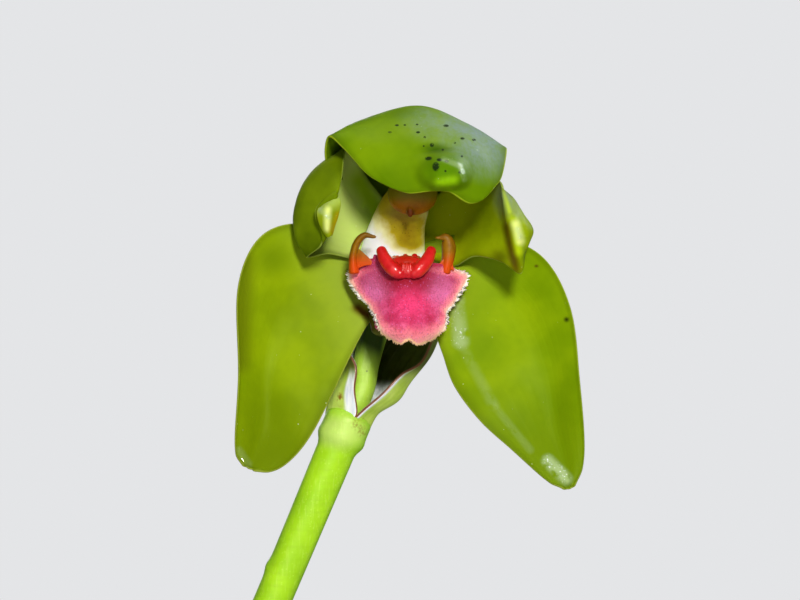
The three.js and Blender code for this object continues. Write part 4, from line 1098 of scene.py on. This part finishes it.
sheath_green = Finish("scape sheath green", roughness=0.45, specular_ior_level=0.35)
sheath_green.tone = sheath_green.blend(sheath_green.grain(8, 3.0), (0.3, (112, 146, 36)),
                                       (0.7, (152, 178, 68)))
sheath_lines = sheath_green.lines(18, waver=0.4)
sheath_green.over(sheath_lines, (88, 116, 30), 0.35)
dry_edge = sheath_green.math("ADD", sheath_green.inset(0.9),
                             sheath_green.times(sheath_green.grain(5, 3.0), 0.08))
sheath_green.over(sheath_green.band(dry_edge, 0.13, 0.05), (158, 128, 76))
sheath_green.colour()
sheath_green.bump(sheath_lines, 0.1)
sheath_green.bump(sheath_green.grain(0.8, 3.0), 0.06)
for k, stretch in enumerate(SHEATH_STRETCHES):
    sheet_piece(f"scape_sheath_wrap_{k + 1}", [f"scape_sheath_{k + 1}"], [sheath_green.made],
                24, 40, scape_sheath(*stretch), 0.7, origin=(0, 0, 0))

# Pseudobulbs and their dry sheaths

BULB_HEIGHT = 88
BULB_FOOT = 103
BULB_RIBS = 8
# Where each stands, the way its broad side faces in degrees, and its share of the full height
BULBS = [((-20, -2), 80, 1.0), ((15, 13), 100, 0.97), ((46, 2), 95, 0.88), ((-12, 46), 20, 0.92)]
bulb_wide = flowing(13, 19.5, 22, 21.5, 18, 12, 5.4)
bulb_deep = flowing(10, 13.5, 14.5, 14, 12, 8.5, 4.6)


def bulb_ridge(t, angle):
    return 1 + 0.05 * np.sin(math.pi * t) * np.cos(BULB_RIBS * angle)


def bulb_surface(foot, turn, size, shift):
    def ridge(t, angle):
        furrow = -0.02 * np.exp(-((np.cos(BULB_RIBS * angle) + 1) / 0.35) ** 2) * np.sin(math.pi * t)
        knots = np.stack([3 * np.cos(angle), 3 * np.sin(angle), 5 * t], 1)
        wrinkle = 0.012 * rough(knots, 0.9, shift) + 0.005 * rough(knots * [4, 4, 0.6], 0.7, shift + 4)
        collar = 0.1 * np.exp(-(((t - 0.965) / 0.02) ** 2))
        return bulb_ridge(t, angle) + (furrow + wrinkle) * (np.abs(np.sin(math.pi * t)) ** 0.5) + collar

    x, y = foot
    angle = math.radians(turn)
    height = BULB_HEIGHT * size
    return limb(
        [(x, y, BULB_FOOT), (x, y, BULB_FOOT + height / 2), (x, y, BULB_FOOT + height)],
        lambda t: bulb_wide(t) * size, lambda t: bulb_deep(t) * size,
        aim=(math.sin(angle), math.cos(angle), 0), ridge=ridge, caps=(1, 1.6), cap_share=0.05)


bulb_green = Finish("pseudobulb green", roughness=0.4, specular_ior_level=0.4)
bulb_green.tone = bulb_green.blend(bulb_green.grain(22, 4.0), (0.3, (88, 116, 34)), (0.5, (116, 140, 46)),
                                   (0.72, (146, 156, 62)))
bulb_fibre = bulb_green.grain(1.2, 4.0, (1, 1, 16))
bulb_green.over(bulb_green.band(bulb_fibre, 0.45, 0.7), (164, 172, 88), 0.35)
groove = bulb_green.math("COSINE", bulb_green.times(bulb_green.across, 2 * math.pi * BULB_RIBS))
bulb_green.over(bulb_green.band(groove, -0.4, -1.0), (70, 92, 28), 0.45)
scars = bulb_green.times(bulb_green.band(bulb_green.grain(3.4, 5.0), 0.62, 0.7), 0.7)
bulb_green.over(scars, (122, 98, 50))
bulb_green.over(bulb_green.band(bulb_green.along, 0.93, 0.97), (120, 96, 48))
bulb_green.over(bulb_green.specks(2.2, 0.12, 0.3), (60, 62, 26), 0.5)
bulb_green.colour()
bulb_green.gloss(bulb_green.grain(7, 3.0), 0.32, 0.55)
bulb_green.bump(bulb_fibre, 0.25)
bulb_green.bump(bulb_green.grain(2.2, 4.0), 0.25)

paper = Finish("dry sheath paper", roughness=0.75, specular_ior_level=0.25)
paper.tone = paper.blend(paper.grain(1.1, 5.0, (1, 1, 18)), (0.3, (122, 92, 56)), (0.5, (168, 138, 92)),
                         (0.72, (206, 182, 134)))
paper.over(paper.band(paper.grain(9, 4.0), 0.5, 0.7), (112, 80, 48))
paper.over(paper.band(paper.along, 0.75, 1.0), (216, 196, 150), 0.5)
paper.colour()
paper.bump(paper.grain(0.9, 4.0, (1, 1, 20)), 0.3)
paper.bump(paper.grain(4, 3.0), 0.4)

SHEATH_OUT = CLEAR + 0.5 + SHEATH_THICK / 2


def bulb_sheath(foot, turn, size, seed):
    """A dry sheath that still hugs the foot of a bulb, open along one rib, its upper edge torn."""
    draws = seeded(seed)
    columns = BULB_RIBS * 2
    tears = np.array([0.26 + 0.16 * next(draws) for _ in range(columns)])
    turned = -math.radians(turn)

    def surface(along, across):
        around = across * (columns - 1) / columns * 2 * math.pi
        strip = across * (columns - 1)
        tear = np.interp(strip, np.arange(columns), tears)
        shred = np.abs(np.sin(strip * 9.7)) * 0.02 + np.abs(np.sin(strip * 3.1 + seed)) * 0.035
        top = tear - shred
        t = 0.03 + (top - 0.03) * along
        factor = bulb_ridge(t, around) * size
        crinkle = 0.25 * rough(np.stack([around * 6, along * 3, np.full_like(along, seed)], 1), 0.6)
        out = SHEATH_OUT + 0.5 * smooth(along, 0.5, 1) + crinkle * along
        x, y = (bulb_wide(t) * factor + out) * np.cos(around), (bulb_deep(t) * factor + out) * np.sin(around)
        return np.stack([
            foot[0] + x * math.cos(turned) - y * math.sin(turned),
            foot[1] + x * math.sin(turned) + y * math.cos(turned),
            BULB_FOOT + BULB_HEIGHT * size * t,
        ], 1)

    return surface


for k, (foot, turn, size) in enumerate(BULBS):
    limb_piece(f"bulb_{k + 1}", [f"pseudobulb_{k + 1}"], [bulb_green.made], 80, 128,
               bulb_surface(foot, turn, size, 20.0 + k), origin=(0, 0, 0))
    sheet_piece(f"bulb_wrap_{k + 1}", [f"bulb_sheath_{k + 1}"], [paper.made], 22, 150,
                bulb_sheath(foot, turn, size, 11 + k), 0.45, origin=(0, 0, 0), levels=0)

# Leaves

LEAF_HALF_WIDTH = 35
LEAF_PLEATS = 5
LEAVES = [
    [(-24, -7, 187), (-47, -8, 222), (-86, -9, 250), (-140, -14, 262), (-200, -20, 246), (-256, -27, 206)],
    [(-18, 4, 187), (-31, 31, 224), (-58, 72, 250), (-90, 122, 256), (-118, 175, 238), (-140, 226, 198)],
    [(17, 15, 184), (38, 36, 218), (76, 66, 240), (126, 102, 244), (180, 138, 228), (230, 170, 192)],
    [(49, 1, 176), (76, -6, 205), (118, -19, 224), (170, -36, 224), (222, -52, 202), (264, -64, 162)],
    [(-12, 49, 180), (-8, 76, 212), (2, 120, 234), (16, 170, 234), (28, 220, 214), (38, 264, 178)],
]
leaf_spread = flowing(0.13, 0.16, 0.44, 0.78, 0.97, 1, 0.93, 0.76, 0.5, 0.24, 0.04)
leaf_channel = flowing(1, 0.8, 0.45, 0.25, 0.15, 0.1, 0.1, 0.12, 0.15, 0.15, 0.1)


def leaf_surface(midrib, shift):
    midrib = np.array(midrib, float)

    def surface(along, across):
        t = even(midrib, along)
        ahead = heading(midrib, t)
        side = unit(np.cross(ahead, np.array([0.0, 0.0, 1.0])))
        up = np.cross(side, ahead)
        half = LEAF_HALF_WIDTH * leaf_spread(along)
        v = 2 * across - 1
        pleat = np.cos(math.pi * LEAF_PLEATS * 2 * across)
        pleat = np.sign(pleat) * np.abs(pleat) ** 0.8 * np.minimum(1.7, half * 0.1)
        veins = 0.12 * np.cos(2 * math.pi * LEAF_PLEATS * 7 * across) * smooth(half, 5, 20)
        lift = half * leaf_channel(along) * v * v
        knots = np.stack([along * 9, v * 1.2, np.full_like(v, shift)], 1)
        wave = 2.4 * rough(knots, 1.0) * smooth(half, 8, 26) * (0.25 + v * v)
        return spline(midrib, t) + side * (half * v)[:, None] + up * (lift + pleat + veins + wave)[:, None]

    return surface


def leaf_share(along, across):
    return 0.45 + 0.55 * smooth(np.minimum(across, 1 - across), 0, 0.1)


def leaf_finish(name, dark, light, vein, sheen):
    f = Finish(name, roughness=0.4, specular_ior_level=0.4, subsurface_weight=0.06, subsurface_scale=0.001,
               subsurface_radius=(0.5, 1.0, 0.2))
    f.tone = f.blend(f.grain(34, 4.0), (0.3, dark), (0.7, light))
    ridge = f.math("COSINE", f.times(f.across, 2 * math.pi * LEAF_PLEATS))
    f.over(f.band(ridge, 0.9, 1.0), vein, 0.5)
    fine = f.lines(LEAF_PLEATS * 14, waver=0.15, width=0.45)
    f.over(fine, vein, 0.22)
    cells = f.band(f.grain(1.4, 4.0), 0.5, 0.72)
    f.over(cells, dark, 0.2)
    f.over(f.band(f.along, 0.14, 0.02), (138, 160, 70))
    ragged = f.math("MULTIPLY_ADD", f.grain(7, 4.0), 0.05, f.along)
    f.over(f.band(ragged, 1.0, 1.012), (150, 120, 60))
    f.over(f.band(f.grain(5, 5.0), 0.68, 0.74), (126, 112, 46), 0.7)
    f.over(f.band(f.inset(1.5), 0.008, 0.003), (150, 168, 84))
    f.colour()
    f.gloss(f.grain(12, 3.0), *sheen)
    f.bump(fine, 0.08)
    f.bump(f.grain(1.2, 4.0), 0.12)
    return f.made


leaf_top = leaf_finish("leaf upper side", (38, 84, 22), (66, 116, 34), (104, 148, 58), (0.3, 0.5))
leaf_under = leaf_finish("leaf under side", (84, 122, 56), (110, 146, 76), (132, 164, 92), (0.5, 0.65))
for k, midrib in enumerate(LEAVES):
    sheet_piece(f"leaf_blade_{k + 1}", [f"leaf_{k + 1}"], [leaf_top, leaf_under], 120, 70,
                leaf_surface(midrib, 30.0 + k), 0.9, origin=(0, 0, 0), weight=leaf_share, other_side=1,
                levels=0)

# Pot and bark

POT_HEIGHT, POT_FOOT_RADIUS, POT_RIM_RADIUS, POT_WALL, POT_FLOOR, RIM_BAND = 128, 52, 80, 6, 9, 24
DRAIN_HOLES = 5
BARK_TOP = 110


def pot_inner(z):
    return POT_FOOT_RADIUS + (POT_RIM_RADIUS - 5 - POT_FOOT_RADIUS) * z / POT_HEIGHT - POT_WALL


def spun(bm, outline, steps):
    """Spins an outline of (radius, height) points once round the upright axis and closes its poles."""
    verts = [bm.verts.new((radius * MM, 0, height * MM)) for radius, height in outline]
    edges = [bm.edges.new(pair) for pair in zip(verts, verts[1:])]
    bmesh.ops.spin(bm, geom=verts + edges, cent=(0, 0, 0), axis=(0, 0, 1), angle=2 * math.pi, steps=steps,
                   use_merge=True)
    bmesh.ops.remove_doubles(bm, verts=bm.verts[:], dist=1e-6)
    bmesh.ops.recalc_face_normals(bm, faces=bm.faces[:])


def cut(made, cutter):
    """Takes a tool's shape out of a piece."""
    mesh = bpy.data.meshes.new("cutter")
    cutter.to_mesh(mesh)
    cutter.free()
    tool = bpy.data.objects.new("cutter", mesh)
    bpy.context.scene.collection.objects.link(tool)
    modifier = made.modifiers.new("Cut", "BOOLEAN")
    modifier.operation, modifier.solver, modifier.object = "DIFFERENCE", "EXACT", tool
    bake(made)
    bpy.data.objects.remove(tool)
    return made


band_z = POT_HEIGHT - RIM_BAND
wall_outline = [(pot_inner(z) + POT_WALL + 0.12 * math.sin(z * 1.9), z)
                for z in np.linspace(2.4, band_z, 74)]
rim_outline = [(POT_RIM_RADIUS - 0.6 + 0.6 * (z - band_z - 3) / 18 + 0.08 * math.sin(z * 2.3), z)
               for z in np.linspace(band_z + 3, POT_HEIGHT - 3, 16)]
inner_outline = [(pot_inner(z), z) for z in np.linspace(POT_HEIGHT - 2, POT_FLOOR, 24)]
mouth_radius = pot_inner(POT_HEIGHT)
pot_outline = [
    (0, 0), (POT_FOOT_RADIUS - 4, 0), (POT_FOOT_RADIUS - 1.8, 0.15), (POT_FOOT_RADIUS - 0.6, 0.8),
    *wall_outline, (POT_RIM_RADIUS - 3, band_z + 0.2), (POT_RIM_RADIUS - 1.4, band_z + 1),
    *rim_outline, (POT_RIM_RADIUS - 0.4, POT_HEIGHT - 1.6), (POT_RIM_RADIUS - 1.2, POT_HEIGHT - 0.5),
    (POT_RIM_RADIUS - 2.4, POT_HEIGHT), (mouth_radius + 2.4, POT_HEIGHT),
    (mouth_radius + 0.8, POT_HEIGHT - 0.6), *inner_outline, (0, POT_FLOOR),
]

clay = Finish("terracotta", roughness=0.85, specular_ior_level=0.2)
clay.tone = clay.blend(clay.grain(26, 4.0), (0.3, (166, 92, 58)), (0.5, (184, 108, 70)),
                       (0.72, (198, 128, 90)))
clay.over(clay.band(clay.grain(1.3, 5.0), 0.52, 0.75), (142, 76, 46), 0.35)
turning = clay.grain(1.1, 3.0, (60, 60, 1))
clay.over(clay.band(turning, 0.5, 0.7), (206, 138, 102), 0.25)
height = clay.math("ADD", clay.z, float(FLOWER[2]))
salt_zone = clay.math("MAXIMUM", clay.times(clay.band(height, 46, 4), 0.9),
                      clay.times(clay.band(height, 118, 128), 0.8))
salt = clay.times(salt_zone, clay.band(clay.grain(11, 6.0), 0.44, 0.66))
clay.over(salt, (216, 200, 184), 0.75)
moss = clay.times(clay.band(height, 100, 60), clay.band(clay.grain(15, 6.0, roughness=0.6), 0.6, 0.72))
clay.over(moss, (110, 104, 62), 0.45)
clay.colour()
clay.gloss(clay.grain(5, 3.0), 0.75, 0.95)
clay.bump(clay.grain(0.6, 4.0), 0.18)
clay.bump(turning, 0.2)

bm = bmesh.new()
spun(bm, pot_outline, 144)
pot = piece(bm, "clay_pot", ["pot"], [clay.made])
holes = bmesh.new()
for k in range(DRAIN_HOLES):
    angle = k / DRAIN_HOLES * 2 * math.pi
    spot = Matrix.Translation((30 * MM * math.cos(angle), 30 * MM * math.sin(angle), 0))
    bmesh.ops.create_cone(holes, cap_ends=True, segments=40, radius1=5.5 * MM, radius2=5.5 * MM,
                          depth=3 * POT_FLOOR * MM, matrix=spot)
cut(pot, holes)

BARK_GROUND = BARK_TOP - 7
bark_finish = Finish("orchid bark", roughness=0.9, specular_ior_level=0.2)
chip_tint = bark_finish.add("ShaderNodeAttribute", attribute_name="chip").outputs["Fac"]
bark_finish.tone = bark_finish.blend(chip_tint, (0.0, (52, 32, 20)), (0.35, (84, 52, 32)),
                                     (0.7, (118, 78, 50)), (1.0, (150, 110, 76)))
bark_finish.over(bark_finish.band(bark_finish.grain(1.6, 5.0), 0.45, 0.7), (44, 26, 16), 0.55)
bark_finish.over(bark_finish.band(bark_finish.grain(4, 5.0), 0.6, 0.72), (168, 136, 104), 0.5)
bark_finish.colour()
bark_finish.bump(bark_finish.grain(2.2, 5.0), 0.8)
bark_finish.bump(bark_finish.grain(0.5, 3.0), 0.2)

dice = random.Random(4711)
bm = bmesh.new()
floor_z = POT_FLOOR + CLEAR
spun(bm, [(0, floor_z), (pot_inner(floor_z) - CLEAR, floor_z), (pot_inner(BARK_GROUND) - CLEAR, BARK_GROUND),
          (pot_inner(BARK_GROUND) * 0.5, BARK_GROUND), (0, BARK_GROUND)], 96)
tint = bm.verts.layers.float.new("chip")
for vert in bm.verts:
    vert[tint] = 0.1
CHIPS = 230
# The golden angle, which spreads the chips evenly
CHIP_ANGLE = 2.39996
for k in range(CHIPS):
    long, wide, thick = dice.uniform(9, 22), dice.uniform(6, 13), dice.uniform(2.5, 5.5)
    far = (pot_inner(BARK_TOP) - 2 - long / 2) * math.sqrt((k + 0.5) / CHIPS)
    angle = k * CHIP_ANGLE
    centre = Vector((far * math.cos(angle), far * math.sin(angle), BARK_GROUND + dice.uniform(0.5, 7)))
    made = bmesh.ops.create_cube(bm, size=1.0)["verts"]
    edges = list(dict.fromkeys(edge for vert in made for edge in vert.link_edges))
    bmesh.ops.subdivide_edges(bm, edges=edges, cuts=2, use_grid_fill=True)
    made = [vert for vert in bm.verts if not vert[tint]]
    turn = (Matrix.Rotation(dice.uniform(0, 2 * math.pi), 4, "Z")
            @ Matrix.Rotation(dice.uniform(-0.4, 0.4), 4, "Y")
            @ Matrix.Rotation(dice.uniform(-0.4, 0.4), 4, "X"))
    shade = dice.uniform(0.01, 1)
    for vert in made:
        knot = vert.co * 1.9 + Vector((k * 3.1, k, 0))
        ball = vert.co.normalized() * 0.62
        vert.co = vert.co.lerp(ball, 0.35) * (1 + 0.34 * noise.noise(knot))
        vert.co = (turn @ Vector((vert.co.x * long, vert.co.y * wide, vert.co.z * thick)) + centre) * MM
        vert[tint] = shade
piece(bm, "bark_chips", ["bark"], [bark_finish.made])

# Stage, light and camera

floor = Finish("pale floor", roughness=0.7, specular_ior_level=0.2, emission_color=(0.97, 0.98, 1.0, 1),
               emission_strength=0.62)
floor_place = floor.add("ShaderNodeTexCoord").outputs["Object"]
reach = floor.vector("LENGTH", floor_place)["Value"]
fade_ends = {"Value": reach, "From Min": 0.9, "From Max": 2.0, "To Min": 1.0, "To Max": 0.0}
fade = floor.add("ShaderNodeMapRange", fade_ends, interpolation_type="SMOOTHSTEP").outputs[0]
floor.tree.links.new(fade, floor.shader.inputs["Alpha"])
floor.colour(floor.blend(floor.grain(300, 2.0), (0.3, (0.24, 0.24, 0.23, 1)), (0.7, (0.27, 0.27, 0.26, 1))))
bm = bmesh.new()
bmesh.ops.create_circle(bm, cap_ends=True, segments=96, radius=2.2)
mesh = bpy.data.meshes.new("floor")
bm.to_mesh(mesh)
bm.free()
mesh.materials.append(floor.made)
ground = bpy.data.objects.new("floor", mesh)
bpy.context.scene.collection.objects.link(ground)
ground.visible_glossy = False

AMBIENT, BACKDROP, MIRRORED = 0.16, 0.8, 0.05
world = bpy.data.worlds.new("studio")
world.use_nodes = True
bpy.context.scene.world = world
path_of = world.node_tree.nodes.new("ShaderNodeLightPath")
sky = world.node_tree.nodes["Background"]
sky.inputs["Color"].default_value = (0.97, 0.98, 1.0, 1)


def either(flag, yes, no):
    node = world.node_tree.nodes.new("ShaderNodeMix")
    for socket, value in {0: flag, 2: no, 3: yes}.items():
        if isinstance(value, bpy.types.NodeSocket):
            world.node_tree.links.new(value, node.inputs[socket])
        else:
            node.inputs[socket].default_value = value
    return node.outputs[0]


lighting = either(path_of.outputs["Is Glossy Ray"], MIRRORED, AMBIENT)
world.node_tree.links.new(either(path_of.outputs["Is Camera Ray"], BACKDROP, lighting),
                          sky.inputs["Strength"])


def softbox(name, place, aim, size, power, colour):
    light = bpy.data.lights.new(name, "AREA")
    light.shape, light.size, light.energy, light.color = "DISK", size, power, colour
    made = bpy.data.objects.new(name, light)
    bpy.context.scene.collection.objects.link(made)
    made.location = place
    made.rotation_euler = (Vector(aim) - Vector(place)).to_track_quat("-Z", "Y").to_euler()
    made.visible_camera = False


bloom_at = tuple(FLOWER * MM)
softbox("key", (0.18, -0.77, 0.69), bloom_at, 0.15, 6.6, (1.0, 0.985, 0.95))
softbox("fill", (-0.3, -1.1, 0.34), bloom_at, 0.6, 0.9, (0.96, 0.98, 1.0))
softbox("rim", (0.7, 0.5, 1.0), bloom_at, 0.5, 5, (0.84, 0.9, 1.0))
softbox("top", (-0.1, 0.1, 1.7), (0, 0.05, 0.15), 1.0, 4, (1.0, 1.0, 1.0))
softbox("back", (-0.5, 1.8, 0.8), (0, 0, 0.2), 1.0, 6.5, (0.98, 0.99, 1.0))

camera = bpy.data.cameras.new("camera")
camera.lens, camera.sensor_width, camera.clip_start = 100, 36, 0.01
viewer = bpy.data.objects.new("camera", camera)
bpy.context.scene.collection.objects.link(viewer)
viewer.location = (0.05075, -0.58556, 0.368)
viewer.rotation_euler = (math.pi / 2, 0, 0)
bpy.context.scene.camera = viewer
bpy.context.scene.view_settings.view_transform = "Standard"
